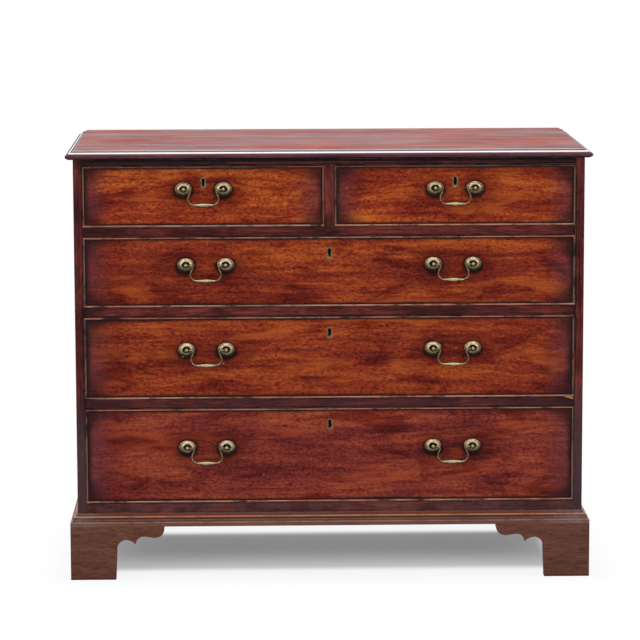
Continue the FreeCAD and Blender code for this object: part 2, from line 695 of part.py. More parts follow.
def make_foot_blocks():
    """An upright block in each corner and a batten behind each bracket, all under the plinth."""
    inner_x = "-plinth_half + foot_thickness"
    block_x = (inner_x, inner_x + " + block_size")
    batten_x = (f"{block_x[1]}", f"{block_x[1]} + batten_length")
    rise = ("block_lift", "foot_height")
    batten_rise = ("foot_height - batten_size", "foot_height")
    blocks = []
    for end, near, step in (("front", "plinth_front + foot_thickness", 1),
                            ("rear", "back_plane - foot_thickness", -1)):
        reach = [near, f"{near} + ({step}) * block_size"]
        thin = [near, f"{near} + ({step}) * batten_size"]
        along = [reach[1], f"{reach[1]} + ({step}) * batten_length"]
        blocks.append(box(f"block_{end}", block_x, tuple(reach[::step]), rise))
        blocks.append(box(f"batten_across_{end}", batten_x, tuple(thin[::step]), batten_rise))
        blocks.append(box(f"batten_along_{end}", (inner_x, inner_x + " + batten_size"),
                          tuple(along[::step]), batten_rise))
    return group("foot_blocks", blocks + [mirrored(block.Name + "_right", block) for block in blocks])


# ---------------------------------------------------------------- drawers

def make_beads(row):
    """Four mitred cockbead strips with a rounded nose, let into the edges of a drawer front."""
    name, centre, half, floor, height, *_ = row
    low, high = f"{floor} + bead_gap", f"{floor} + {height} - bead_gap"
    left, right = f"{centre} - {half}", f"{centre} + {half}"
    inner = {left: f"{left} + bead_thickness", right: f"{right} - bead_thickness",
             low: f"{low} + bead_thickness", high: f"{high} - bead_thickness"}
    strips = {
        "top": [(left, high), (inner[left], inner[high]), (inner[right], inner[high]), (right, high)],
        "foot": [(left, low), (right, low), (inner[right], inner[low]), (inner[left], inner[low])],
        "left": [(left, low), (inner[left], inner[low]), (inner[left], inner[high]), (left, high)],
        "right": [(right, low), (right, high), (inner[right], inner[high]), (inner[right], inner[low])],
    }
    beads = []
    for edge, corners in strips.items():
        strip = padded(f"{name}_bead_{edge}", "XZ_Plane", corners, "bead_depth + bead_projection")
        place(strip, y="face_plane + bead_depth")
        round_nose(strip)
        beads.append(strip)
    return group(name + "_cockbeads", beads)


def round_nose(strip):
    """Round the two long front edges of a cockbead strip."""
    doc.recompute()
    front = -value("bead_depth + bead_projection")
    pad = strip.Tip
    edges = []
    for number, edge in enumerate(pad.Shape.Edges, start=1):
        ends = [vertex.Point for vertex in edge.Vertexes]
        on_front = all(abs(point.y - front) < 0.01 for point in ends)
        span = ends[1] - ends[0]
        if on_front and min(abs(span.x), abs(span.z)) < 0.01:
            edges.append(f"Edge{number}")
    nose = strip.newObject("PartDesign::Fillet", strip.Name + "_nose")
    nose.Base = (pad, edges)
    nose.setExpression("Radius", bound("bead_round"))


def lining_outline(floor, height, tails):
    """A drawer side, seen from the right: dovetails in front, and behind for the back only."""
    low = f"{floor} + running_gap"
    high = f"{floor} + {height} - lining_top_gap"
    corners = [("lining_front", low), ("drawer_rear", low)]
    shelf = f"{low} + bottom_lift + bottom_thickness"
    corners += tail_edge("drawer_rear", "-lining_thickness", shelf, f"{floor} + {height} - back_top_gap",
                         tails)
    corners += [("drawer_rear", high), ("lining_front", high)]
    corners += tail_edge("lining_front", "tail_length", low, high, tails)[::-1]
    return corners


def tail_edge(outer, inwards, low, high, tails):
    """The notches between dovetails, upwards: tails wider at their end, half pins outside them."""
    pitch = f"(({high}) - ({low})) / {tails}"
    corners = []
    for notch in range(1, tails):
        middle = f"{low} + {pitch} * {notch}"
        corners += [
            (outer, f"{middle} - pin_width / 2"),
            (f"{outer} + {inwards}", f"{middle} - pin_width / 2 - tail_flare"),
            (f"{outer} + {inwards}", f"{middle} + pin_width / 2 + tail_flare"),
            (outer, f"{middle} + pin_width / 2"),
        ]
    return corners


def make_lining(row):
    """Drawer bottom, then the sides grooved for it and the back dovetailed between them."""
    name, centre, half, floor, height, _, _, tails = row
    shelf = f"{floor} + running_gap + bottom_lift"
    inner = f"({half} - lining_thickness + groove_depth)"
    bottom = box(name + "_bottom", (f"{centre} - {inner}", f"{centre} + {inner}"),
                 ("front_rear - groove_depth", "drawer_rear"), (shelf, f"{shelf} + bottom_thickness"))
    sides = []
    for side, start in (("left", f"{centre} - {half}"), ("right", f"{centre} + {half} - lining_thickness")):
        board = padded(f"{name}_side_{side}_board", "YZ_Plane", lining_outline(floor, height, tails),
                       "lining_thickness")
        place(board, x=start)
        sides.append(cut(f"{name}_side_{side}", board, [bottom]))
    back_blank = box(name + "_back_blank", (f"{centre} - {half}", f"{centre} + {half}"),
                     ("drawer_rear - lining_thickness", "drawer_rear"),
                     (f"{shelf} + bottom_thickness", f"{floor} + {height} - back_top_gap"))
    back = cut(name + "_back", back_blank, sides)
    return bottom, sides, group(name + "_lining", sides + [back])


def keyhole(name, centre, middle, front, rear):
    """The space of a keyhole between two depths: a round hole over a slot."""
    depth = f"({rear}) - ({front})"
    top = f"{middle} + key_pitch / 2"
    hole = rod(name + "_round", "key_round_radius", depth, "+Y", centre, front, top)
    slot = box(name + "_slot", (f"{centre} - key_slot_width / 2", f"{centre} + key_slot_width / 2"),
               (front, rear), (f"{middle} - key_pitch / 2", top))
    return fused(name, [hole, slot])


def make_lock(row):
    """Keyhole thread, lock case with its cover plate, and four screws; and the moving bolt."""
    name, centre, _, floor, height, *_ = row
    top = f"{floor} + {height} - bead_gap"
    middle = f"{top} - key_drop"
    thread_blank = make_thread_blank(name, centre, middle)
    thread = cut(name + "_thread", thread_blank,
                 [keyhole(name + "_thread_hole", centre, middle, "face_plane - proud",
                          "face_plane + thread_depth + proud")])
    screws = make_lock_screws(name, centre, top)
    lock = make_lock_case(name, centre, top, screws)
    bolt = box(name + "_bolt", (f"{centre} - bolt_width / 2", f"{centre} + bolt_width / 2"),
               ("bolt_plane - bolt_thickness / 2", "bolt_plane + bolt_thickness / 2"),
               (f"{top} - bolt_length", top))
    way = keyhole(name + "_keyway", centre, middle, "face_plane - proud",
                  "front_rear - lock_depth + proud")
    return thread_blank, lock, screws, way, group(name + "_lock", [thread, lock] + screws), bolt


def make_thread_blank(name, centre, middle):
    """Outline of the keyhole thread before its hole: two rounds joined by a waist."""
    ends = [rod(f"{name}_thread_{end}", radius, "thread_depth", "+Y", centre, "face_plane",
                f"{middle} + ({sign}) * key_pitch / 2")
            for end, radius, sign in (("top", "thread_top_radius", 1), ("foot", "thread_foot_radius", -1))]
    waist = box(name + "_thread_waist", (f"{centre} - thread_waist / 2", f"{centre} + thread_waist / 2"),
                ("face_plane", "face_plane + thread_depth"),
                (f"{middle} - key_pitch / 2", f"{middle} + key_pitch / 2"))
    return fused(name + "_thread_blank", ends + [waist])


def make_lock_case(name, centre, top, screws):
    """A case let in flush behind the front, with a shaft for the bolt, and its cover plate."""
    half = "lock_width / 2"
    wide = f"({half} + plate_margin)"
    case = box(name + "_case", (f"{centre} - {half}", f"{centre} + {half}"),
               ("front_rear - lock_depth", "front_rear"), (f"{top} - lock_height", top))
    plate = box(name + "_plate", (f"{centre} - {wide}", f"{centre} + {wide}"),
                ("front_rear", "front_rear + lock_plate"), (f"{top} - lock_height - plate_margin", top))
    reach = "bolt_width / 2 + bolt_clearance"
    thick = "bolt_thickness / 2 + bolt_clearance"
    shaft = box(name + "_shaft", (f"{centre} - ({reach})", f"{centre} + {reach}"),
                (f"bolt_plane - ({thick})", f"bolt_plane + {thick}"),
                (f"{top} - bolt_length - bolt_clearance", f"{top} + proud"))
    entry = keyhole(name + "_entry", centre, f"{top} - key_drop", "front_rear - lock_depth - proud",
                    "bolt_plane")
    return cut(name + "_lock_case", fused(name + "_lock_blank", [case, plate]), [shaft, entry] + screws)


def make_lock_screws(name, centre, top):
    """A screw near each corner of the cover plate, outside the case, into the front."""
    screws = []
    inset = "plate_margin / 2"
    low = f"{top} - lock_height + {inset}"
    for side in (LEFT, RIGHT):
        for end, level in (("high", f"{top} - 2 * plate_margin"), ("low", low)):
            x = f"{centre} + ({side}) * (lock_width / 2 + {inset})"
            screw = f"{name}_screw_{side + 1}_{end}"
            head = rod(screw + "_head", "screw_head_radius", "screw_head_height", "+Y", x,
                       "front_rear + lock_plate", level)
            shank = rod(screw + "_shank", "screw_radius", "screw_length", "-Y", x,
                        "front_rear + lock_plate + screw_head_height / 2", level)
            screws.append(fused(screw, [head, shank]))
    return screws


def make_front(row, let_in, holes):
    """A drawer front: rebated for its beads, and cut for all that is let into it."""
    name, centre, half, floor, height, *_ = row
    low, high = f"{floor} + bead_gap", f"{floor} + {height} - bead_gap"
    across = (f"{centre} - {half}", f"{centre} + {half}")
    core_across = (f"{centre} - {half} + bead_thickness", f"{centre} + {half} - bead_thickness")
    core = box(name + "_core", core_across, ("face_plane", "front_rear"),
               (f"{low} + bead_thickness", f"{high} - bead_thickness"))
    rear = box(name + "_rear", across, ("face_plane + bead_depth", "front_rear"), (low, high))
    return cut(name + "_front", fused(name + "_front_blank", [core, rear]), let_in + holes)


# ---------------------------------------------------------------- handles

def make_post_pattern(name, x, level, side):
    """One post: ball head, neck, collar, and a shank through the front to its nut."""
    body = doc.addObject("PartDesign::Body", name + "_turning")
    sketch = add_sketch(body, name + "_section", "XY_Plane")
    head = "(0 - post_standoff)"
    # the collar's rim rests on the hollow of the rose
    rim_rise = "(rose_dish_radius - sqrt(rose_dish_radius ^ 2 - collar_radius ^ 2))"
    seat = f"(rose_dish_depth - rose_dome - {rim_rise})"
    # the neck leaves the ball where the ball is as thick as the neck
    neck_start = f"{head} + sqrt(head_radius ^ 2 - neck_radius ^ 2)"
    draw(sketch, [
        ("0", f"{head} - head_radius"),
        ("head_radius", head, "head_radius", 1),
        ("neck_radius", neck_start, "head_radius", 1),
        ("neck_radius", f"{seat} - collar_thickness"),
        ("collar_radius", f"{seat} - collar_thickness"),
        ("collar_radius", seat),
        ("shank_radius", seat),
        ("shank_radius", "front_thickness + shank_tail"),
        ("0", "front_thickness + shank_tail"),
    ])
    turning = body.newObject("PartDesign::Revolution", name + "_turned")
    turning.Profile = sketch
    turning.ReferenceAxis = (sketch, ["V_Axis"])
    turning.Angle = 360
    place(body, x=x, y="face_plane", z=level)
    drill = rod(name + "_drill", "pivot_radius + pivot_clearance", "head_radius + proud",
                "-X" if side > 0 else "+X", x, "pivot_plane", level)
    return cut(name, body, [drill])


def make_rose(name, x, level):
    """An oval domed rose, hollowed round the post."""
    dome = doc.addObject("Part::Ellipsoid", name + "_dome")
    dome.setExpression("Radius1", bound("rose_half_height"))
    dome.setExpression("Radius2", bound("rose_half_width"))
    dome.setExpression("Radius3", bound("rose_dome"))
    place(dome, x, "face_plane", level)
    wall = box(name + "_wall", (f"{x} - rose_half_width - proud", f"{x} + rose_half_width + proud"),
               ("face_plane", "face_plane + rose_dome + proud"),
               (f"{level} - rose_half_height - proud", f"{level} + rose_half_height + proud"))
    dish = doc.addObject("Part::Sphere", name + "_dish")
    dish.setExpression("Radius", bound("rose_dish_radius"))
    place(dish, x, "face_plane - rose_dome + rose_dish_depth - rose_dish_radius", level)
    hole = rod(name + "_hole", "shank_radius + shank_clearance", "rose_dome + proud", "-Y", x,
               "face_plane + proud", level)
    return cut(name, cut(name + "_shell", cut(name + "_half", dome, [wall]), [dish]), [hole])


def make_nut(name, x, level):
    """A square nut behind the front."""
    blank = box(name + "_blank", (f"{x} - nut_width / 2", f"{x} + nut_width / 2"),
                ("front_rear", "front_rear + nut_thickness"),
                (f"{level} - nut_width / 2", f"{level} + nut_width / 2"))
    hole = rod(name + "_hole", "shank_radius", "nut_thickness + 2 * proud", "+Y", x,
               "front_rear - proud", level)
    return cut(name, blank, [hole])


def make_fittings(row):
    """Roses, posts and nuts of a drawer's handles, and the holes that they need in its front."""
    name, _, _, floor, height, drop, handles, _ = row
    level = f"{floor} + {height} - bead_gap - {drop}"
    pieces = []
    holes = []
    for number, middle in enumerate(handles):
        for side in (LEFT, RIGHT):
            x = f"{middle} + ({side}) * post_spacing / 2"
            tag = f"{name}_handle_{number}_{side + 1}"
            pieces.append(make_rose(tag + "_rose", x, level))
            pieces.append(make_post_pattern(tag + "_post", x, level, side))
            pieces.append(make_nut(tag + "_nut", x, level))
            holes.append(rod(tag + "_bore", "shank_radius + shank_clearance",
                             "front_thickness + 2 * proud", "+Y", x, "face_plane - proud", level))
    return group(name + "_fittings", pieces), holes


def make_bail(name, middle, level):
    """A swan-neck bail, modelled about its grip and then hung from its pivot."""
    body = doc.addObject("PartDesign::Body", name + "_wire")
    section = add_sketch(body, name + "_section", "YZ_Plane")
    section.addGeometry(Part.Circle(Vector(0, 0, 0), Vector(0, 0, 1), value("wire_radius")))
    section.addConstraint(Sketcher.Constraint("Coincident", 0, 3, -1, 1))
    pin_down(section, Sketcher.Constraint("Radius", 0, value("wire_radius")), "wire_radius")
    path = add_sketch(body, name + "_path", "XZ_Plane")
    draw_bail_path(path)
    pipe = body.newObject("PartDesign::AdditivePipe", name + "_pipe")
    pipe.Profile = section
    pipe.Spine = path
    doc.recompute()
    both = body.newObject("PartDesign::Mirrored", name + "_both")
    both.Originals = [pipe]
    both.MirrorPlane = (origin_plane(body, "YZ_Plane"), [""])
    body.Tip = both
    swelling = add_sketch(body, name + "_swelling", "XZ_Plane")
    swell = "((grip_half_length ^ 2 + (grip_radius - wire_radius) ^ 2) / (grip_radius - wire_radius) / 2)"
    draw(swelling, [
        ("-grip_half_length", "0"),
        ("grip_half_length", "0"),
        ("grip_half_length", "wire_radius"),
        ("-grip_half_length", "wire_radius", swell, 1),
    ])
    grip = body.newObject("PartDesign::Revolution", name + "_grip")
    grip.Profile = swelling
    grip.ReferenceAxis = (swelling, ["H_Axis"])
    grip.Angle = 360
    place(body, middle, "pivot_plane", f"{level} - bail_drop")
    wire_end = "(post_spacing / 2 - head_radius - wire_gap)"
    # each pin starts inside the wire, so that the two are one piece
    reach = f"post_spacing / 2 - pivot_end_gap - {wire_end} + proud"
    pins = [rod(f"{name}_pin_{side + 1}", "pivot_radius", reach, "+X" if side > 0 else "-X",
                f"{middle} + ({side}) * ({wire_end} - proud)", "pivot_plane", level)
            for side in (LEFT, RIGHT)]
    return fused(name, [body] + pins)


def draw_bail_path(path):
    """Half the bail's middle line: grip, lower bend, neck, upper bend and the end into the post.
    The neck is the line that touches both bends."""
    lower = ("(bail_half_width - bail_bend_radius)", "bail_bend_radius")
    upper = ("(neck_inset + neck_bend_radius)", "(bail_drop - neck_bend_radius)")
    run, rise = f"({upper[0]} - {lower[0]})", f"({upper[1]} - {lower[1]})"
    span = f"sqrt({run} ^ 2 + {rise} ^ 2)"
    # angle of the neck from upright
    lean = f"(90 - atan2({rise}; {run}) / 1 deg)"
    lean = f"(asin((bail_bend_radius + neck_bend_radius) / {span}) / 1 deg - {lean})"
    cosine, sine = f"cos({lean} * 1 deg)", f"sin({lean} * 1 deg)"
    draw(path, [
        ("0", "0"),
        (lower[0], "0"),
        (f"{lower[0]} + bail_bend_radius * {cosine}", f"{lower[1]} + bail_bend_radius * {sine}",
         "bail_bend_radius", 1),
        (f"{upper[0]} - neck_bend_radius * {cosine}", f"{upper[1]} - neck_bend_radius * {sine}"),
        (upper[0], "bail_drop", "neck_bend_radius", -1),
        ("post_spacing / 2 - head_radius - wire_gap", "bail_drop"),
    ], closed=False)


# ---------------------------------------------------------------- the whole chest

def make_carcass():
    """Every fixed piece of the chest, by its node's name."""
    nodes = {"top_board": make_top_board()}
    nodes.update(make_rails())
    nodes.update(make_inner_boards())
    nodes.update(make_back())
    let_in = [nodes[name] for name in ("top_rails", "drawer_rail_upper", "drawer_rail_middle",
                                       "drawer_rail_lower", "bottom_rail", "dust_boards", "bottom_board",
                                       "back_nails")]
    nodes["side_left"] = make_side("side_left", LEFT, let_in)
    nodes["side_right"] = make_side("side_right", RIGHT, let_in)
    nodes["drawer_stops"] = make_stops()
    nodes["plinth_mouldings"] = make_plinth()
    nodes["bracket_feet"] = make_feet()
    nodes["foot_blocks"] = make_foot_blocks()
    return nodes


def make_drawer(row):
    """Every piece of one drawer, by its node's name."""
    name, _, _, floor, height, drop, handles, _ = row
    beads = make_beads(row)
    bottom, sides, lining = make_lining(row)
    thread_blank, case, screws, way, lock, bolt = make_lock(row)
    fittings, holes = make_fittings(row)
    lock_space = box(name + "_lock_space",
                     (f"{row[1]} - lock_width / 2", f"{row[1]} + lock_width / 2"),
                     ("front_rear - lock_depth", "front_rear + proud"),
                     (f"{floor} + {height} - bead_gap - lock_height", f"{floor} + {height}"))
    front = make_front(row, sides + [bottom, thread_blank, way, lock_space] + screws, holes)
    nodes = {
        name + "_front": front,
        name + "_cockbeads": beads,
        name + "_lining": lining,
        name + "_bottom": bottom,
        name + "_fittings": fittings,
        name + "_lock": lock,
        name + "_bolt": bolt,
    }
    level = f"{floor} + {height} - bead_gap - {drop}"
    tags = [""] if len(handles) == 1 else ["_left", "_right"]
    for tag, middle in zip(tags, handles):
        nodes[f"{name}_bail{tag}"] = make_bail(f"{name}_bail{tag}", middle, level)
    return nodes


def check(nodes):
    """Stop if any object failed, or a node is empty or not valid."""
    for item in doc.Objects:
        if "Invalid" in item.State or "Error" in item.State:
            raise RuntimeError(f"{item.Name} did not compute: {item.State}")
    for name, item in nodes.items():
        if item.Shape.isNull() or not item.Shape.isValid() or not item.Shape.Solids:
            raise RuntimeError(f"{name} has no valid shape")


def main():
    """Build the document and write one file for each node."""
    fill_sheet()
    nodes = make_carcass()
    for row in DRAWERS:
        nodes.update(make_drawer(row))
    doc.recompute()
    check(nodes)
    os.makedirs("parts", exist_ok=True)
    for name, item in nodes.items():
        item.Label = name
        item.Shape.exportStep(f"parts/{name}.step")
    print(len(nodes), "nodes,", sum(len(item.Shape.Solids) for item in nodes.values()), "solids")


main()
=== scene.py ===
"""Looks of a chest of two short and three long drawers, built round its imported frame.

Lengths are in metres, in the frame's own axes: +X to the right of the front, +Y towards the back
and +Z up, with the origin on the floor under the middle of the chest. Wood, brass and iron are
dressed with node materials on Object coordinates, so each pattern stays on its piece in any pose.
A finish's levels are the two ends of a smooth step, and its shares and strengths run from 0 to 1.
"""

from __future__ import annotations

import json
import logging
import math
from dataclasses import dataclass, replace
from enum import Enum
from functools import partial, reduce
from typing import Callable, Sequence

import bmesh
import bpy
from mathutils import Matrix, Vector

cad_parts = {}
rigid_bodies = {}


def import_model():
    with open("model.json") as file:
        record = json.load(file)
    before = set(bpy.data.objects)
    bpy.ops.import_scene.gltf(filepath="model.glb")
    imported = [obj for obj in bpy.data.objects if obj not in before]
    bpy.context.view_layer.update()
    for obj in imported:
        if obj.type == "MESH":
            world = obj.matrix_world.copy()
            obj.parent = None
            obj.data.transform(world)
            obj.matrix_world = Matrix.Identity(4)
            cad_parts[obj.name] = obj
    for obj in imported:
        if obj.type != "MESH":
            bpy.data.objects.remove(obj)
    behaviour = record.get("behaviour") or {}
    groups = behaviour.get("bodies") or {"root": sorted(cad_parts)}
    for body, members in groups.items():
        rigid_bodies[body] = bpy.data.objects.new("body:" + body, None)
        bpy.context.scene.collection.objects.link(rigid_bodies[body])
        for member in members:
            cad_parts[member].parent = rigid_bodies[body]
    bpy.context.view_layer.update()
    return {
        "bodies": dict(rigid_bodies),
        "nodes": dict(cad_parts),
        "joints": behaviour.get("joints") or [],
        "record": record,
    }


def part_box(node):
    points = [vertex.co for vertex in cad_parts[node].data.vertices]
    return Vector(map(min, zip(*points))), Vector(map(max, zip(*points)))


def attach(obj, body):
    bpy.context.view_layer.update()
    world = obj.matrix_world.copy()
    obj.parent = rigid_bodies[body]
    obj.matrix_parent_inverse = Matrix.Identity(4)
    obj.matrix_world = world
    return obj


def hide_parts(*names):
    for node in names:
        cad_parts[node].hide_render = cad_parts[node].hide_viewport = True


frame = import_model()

Colour = tuple[float, float, float]
Socket = bpy.types.NodeSocket
Feed = object  # a socket to link, or a value to set

log = logging.getLogger("chest")

WELD = 1e-6  # points this close are one
SLACK = 1e-5  # how far a place may miss a level that it is on
HALF = 0.5  # the middle of a noise or of a grid


def linear(channel: float) -> float:
    """One channel of a display colour, from 0 to 255, as the linear share that shaders take."""
    share = channel / 255
    return share / 12.92 if share <= 0.04045 else ((share + 0.055) / 1.055) ** 2.4


def tone(red: float, green: float, blue: float) -> Colour:
    """A display colour, each channel from 0 to 255, as the linear colour that shaders take.

    Args:
        red, green, blue: the colour as it looks on a screen.

    Returns:
        The linear colour.
    """
    return linear(red), linear(green), linear(blue)


class Axis(Enum):
    """The frame's axes, as ways that a grain can run or a surface can face."""

    ACROSS = 0
    DEEP = 1
    UP = 2


class Slot(Enum):
    """The record's material slots that the new pieces' finishes belong to."""

    CASE = "case_mahogany"
    TOP = "top_mahogany"
    MOULDING = "moulding_mahogany"
    FOOT = "foot_mahogany"
    BRASS = "brass"
    IRON = "iron"


# ---- node trees


class Bench:
    """Adds, sets and links the nodes of one tree."""

    def __init__(self, tree: bpy.types.NodeTree) -> None:
        """Work on one tree."""
        self.tree = tree

    def add(self, kind: str, feeds: dict | None = None, **settings: object) -> bpy.types.Node:
        """Add a node.

        Args:
            kind: the node's type.
            feeds: for each input, by name or number, a socket to link or a value to set.
            settings: the node's own properties.

        Returns:
            The new node.
        """
        node = self.tree.nodes.new(kind)
        for name, setting in settings.items():
            setattr(node, name, setting)
        for key, source in (feeds or {}).items():
            self.feed(node.inputs[key], source)
        return node

    def feed(self, socket: Socket, source: Feed) -> None:
        """Link a socket to its source, or set its value.

        Args:
            socket: the input.
            source: a socket or a value.
        """
        if isinstance(source, bpy.types.NodeSocket):
            self.tree.links.new(source, socket)
        else:
            socket.default_value = source

    def math(self, operation: str, *terms: Feed) -> Socket:
        """The result of one Math node on one to three terms."""
        return self.add("ShaderNodeMath", dict(enumerate(terms)), operation=operation).outputs[0]

    def total(self, *terms: Feed) -> Socket:
        """The sum of several terms."""
        return reduce(partial(self.math, "ADD"), terms)

    def product(self, *terms: Feed) -> Socket:
        """The product of several terms."""
        return reduce(partial(self.math, "MULTIPLY"), terms)

    def less(self, whole: Feed, part: Feed) -> Socket:
        """One value less another."""
        return self.math("SUBTRACT", whole, part)

    def apart(self, source: Feed, level: Feed) -> Socket:
        """How far a value is from a level, either way."""
        return self.math("ABSOLUTE", self.less(source, level))

    def length_of(self, first: Feed, second: Feed) -> Socket:
        """The length of a flat vector."""
        squares = self.total(self.math("POWER", first, 2.0), self.math("POWER", second, 2.0))
        return self.math("SQRT", squares)

    def fade(self, source: Feed, start: Feed, end: Feed) -> Socket:
        """A smooth step: 0 where the source is at start and 1 where it is at end."""
        feeds = {"Value": source, "From Min": start, "From Max": end}
        return self.add("ShaderNodeMapRange", feeds, interpolation_type="SMOOTHSTEP").outputs[0]

    def split(self, vector: Socket) -> tuple[Socket, Socket, Socket]:
        """The three parts of a vector."""
        return tuple(self.add("ShaderNodeSeparateXYZ", {0: vector}).outputs)

    def join(self, x: Feed, y: Feed, z: Feed) -> Socket:
        """A vector from its three parts."""
        return self.add("ShaderNodeCombineXYZ", {0: x, 1: y, 2: z}).outputs[0]


@dataclass
class Coat:
    """What a finish works out for one surface: its colour, roughness and relief."""

    colour: Socket
    roughness: Feed
    relief: Socket


class Paint(Bench):
    """The node tree of one material."""

    APART = (3.7, 1.9, 5.3)
    SPECK_LUCK = (0.35, 1.0)
    SPECK_EDGE = (0.04, -0.04)

    def __init__(self, name: str) -> None:
        """Start an empty material.

        Args:
            name: the material's name.
        """
        self.material = bpy.data.materials.new(name)
        self.material.use_nodes = True
        super().__init__(self.material.node_tree)
        self.tree.nodes.clear()

    def place(self) -> Socket:
        """Where a point is on the piece, in the frame's metres."""
        return self.add("ShaderNodeTexCoord").outputs["Object"]

    def facing(self, axis: Axis) -> Socket:
        """How far the surface faces along an axis, from -1 to 1."""
        return self.split(self.add("ShaderNodeTexCoord").outputs["Normal"])[axis.value]

    def marked(self, name: str) -> Socket:
        """A number that the mesh itself carries, such as its wear."""
        return self.add("ShaderNodeAttribute", attribute_name=name).outputs["Fac"]

    def drawn_out(self, place: Socket, along: Axis, length: float, width: float, seed: float) -> Socket:
        """Coordinates whose unit is length along the grain and width across it.

        Args:
            place: the point.
            along: the way of the grain.
            length, width: the size of one feature.
            seed: shifts the pattern, so that no two boards share one.

        Returns:
            The stretched coordinates.
        """
        scale = [1 / width] * 3
        scale[along.value] = 1 / length
        feeds = {"Vector": place, "Scale": scale, "Location": [seed * part for part in self.APART]}
        return self.add("ShaderNodeMapping", feeds).outputs[0]

    def noise(self, vector: Socket, detail: float = 2.0, rough: float = 0.5, bend: float = 0.0) -> Socket:
        """Soft noise from about 0.25 to 0.75, one feature to a unit of its coordinates."""
        feeds = {"Vector": vector, "Scale": 1.0, "Detail": detail, "Roughness": rough, "Distortion": bend}
        return self.add("ShaderNodeTexNoise", feeds).outputs[0]

    def specks(self, vector: Socket, size: float) -> Socket:
        """Round specks, some larger than others: 1 on a speck and 0 off it.

        Args:
            vector: coordinates with one speck to a unit.
            size: the largest speck's radius, as a share of that unit.

        Returns:
            The mask.
        """
        cell = self.add("ShaderNodeTexVoronoi", {"Vector": vector, "Scale": 1.0})
        luck = self.split(cell.outputs["Color"])[0]
        reach = self.product(self.fade(luck, *self.SPECK_LUCK), size)
        return self.fade(self.less(cell.outputs["Distance"], reach), *self.SPECK_EDGE)

    def ramp(self, factor: Socket, stops: Sequence[tuple[float, Colour]]) -> Socket:
        """A colour that runs through several stops.

        Args:
            factor: where on the ramp a point is, from 0 to 1.
            stops: each colour and its level.

        Returns:
            The colour.
        """
        node = self.add("ShaderNodeValToRGB", {0: factor})
        band = node.color_ramp.elements
        while len(band) < len(stops):
            band.new(1.0)
        for element, (level, colour) in zip(band, stops):
            element.position = level
            element.color = (*colour, 1)
        return node.outputs[0]

    def blend(self, factor: Feed, under: Feed, over: Feed, mode: str = "MIX") -> Socket:
        """One colour over another.

        Args:
            factor: how much of the upper colour shows.
            under, over: the two colours.
            mode: how they mix.

        Returns:
            The mixed colour.
        """
        node = self.add("ShaderNodeMix", data_type="RGBA", blend_type=mode)
        for key, source in ((0, factor), (6, under), (7, over)):
            if isinstance(source, tuple):
                source = (*source, 1)
            self.feed(node.inputs[key], source)
        return node.outputs[2]

    def darken(self, colour: Socket, factor: Feed, dirt: Colour) -> Socket:
        """A colour with dirt multiplied over it."""
        return self.blend(factor, colour, dirt, "MULTIPLY")

    def surface(self, coat: Coat, relief: float, **constants: float) -> bpy.types.Material:
        """Finish the material.

        Args:
            coat: colour, roughness and relief.
            relief: how deep the relief is, in metres.
            constants: values for the shader's own sockets, with _ for a space.

        Returns:
            The material.
        """
        bump = self.add("ShaderNodeBump", {"Height": coat.relief, "Distance": relief, "Strength": 1.0})
        feeds = {"Base Color": coat.colour, "Roughness": coat.roughness, "Normal": bump.outputs[0]}
        feeds.update({name.replace("_", " "): number for name, number in constants.items()})
        shader = self.add("ShaderNodeBsdfPrincipled", feeds)
        self.add("ShaderNodeOutputMaterial", {"Surface": shader.outputs[0]})
        return self.material


# ---- finishes


@dataclass(frozen=True)
class Pattern:
    """A noise drawn out along a board: how large one feature is, and how rough and bent it is."""

    length: float
    width: float
    shift: float = 0.0
    detail: float = 2.0
    rough: float = 0.5
    bend: float = 0.0
    along: Axis = Axis.ACROSS

    def stretched(self, paint: Paint, place: Socket, seed: float) -> Socket:
        """The pattern's coordinates; its shift keeps it apart from the others of one seed."""
        return paint.drawn_out(place, self.along, self.length, self.width, seed + self.shift)

    def noise(self, paint: Paint, place: Socket, seed: float) -> Socket:
        """The noise, from about 0.25 to 0.75."""
        return paint.noise(self.stretched(paint, place, seed), self.detail, self.rough, self.bend)

    def specks(self, paint: Paint, place: Socket, seed: float, size: float) -> Socket:
        """Round specks in place of the noise, whose radius is at most that share of a feature."""
        return paint.specks(self.stretched(paint, place, seed), size)


@dataclass(frozen=True)
class Stain:
    """A tint laid over the wood: how strong it is at most, and the levels between which it comes in."""

    tint: Colour
    strength: float = 1.0
    start: float = 0.0
    end: float = 1.0
    mode: str = "MULTIPLY"

    def over(self, paint: Paint, colour: Socket, level: Socket, *masks: Feed) -> Socket:
        """The stained colour, where a level runs from start to end and masks hold the stain back."""
        return self.laid(paint, colour, paint.fade(level, self.start, self.end), *masks)

    def laid(self, paint: Paint, colour: Socket, *masks: Feed) -> Socket:
        """The stained colour, by masks alone."""
        return paint.blend(paint.product(*masks, self.strength), colour, self.tint, self.mode)


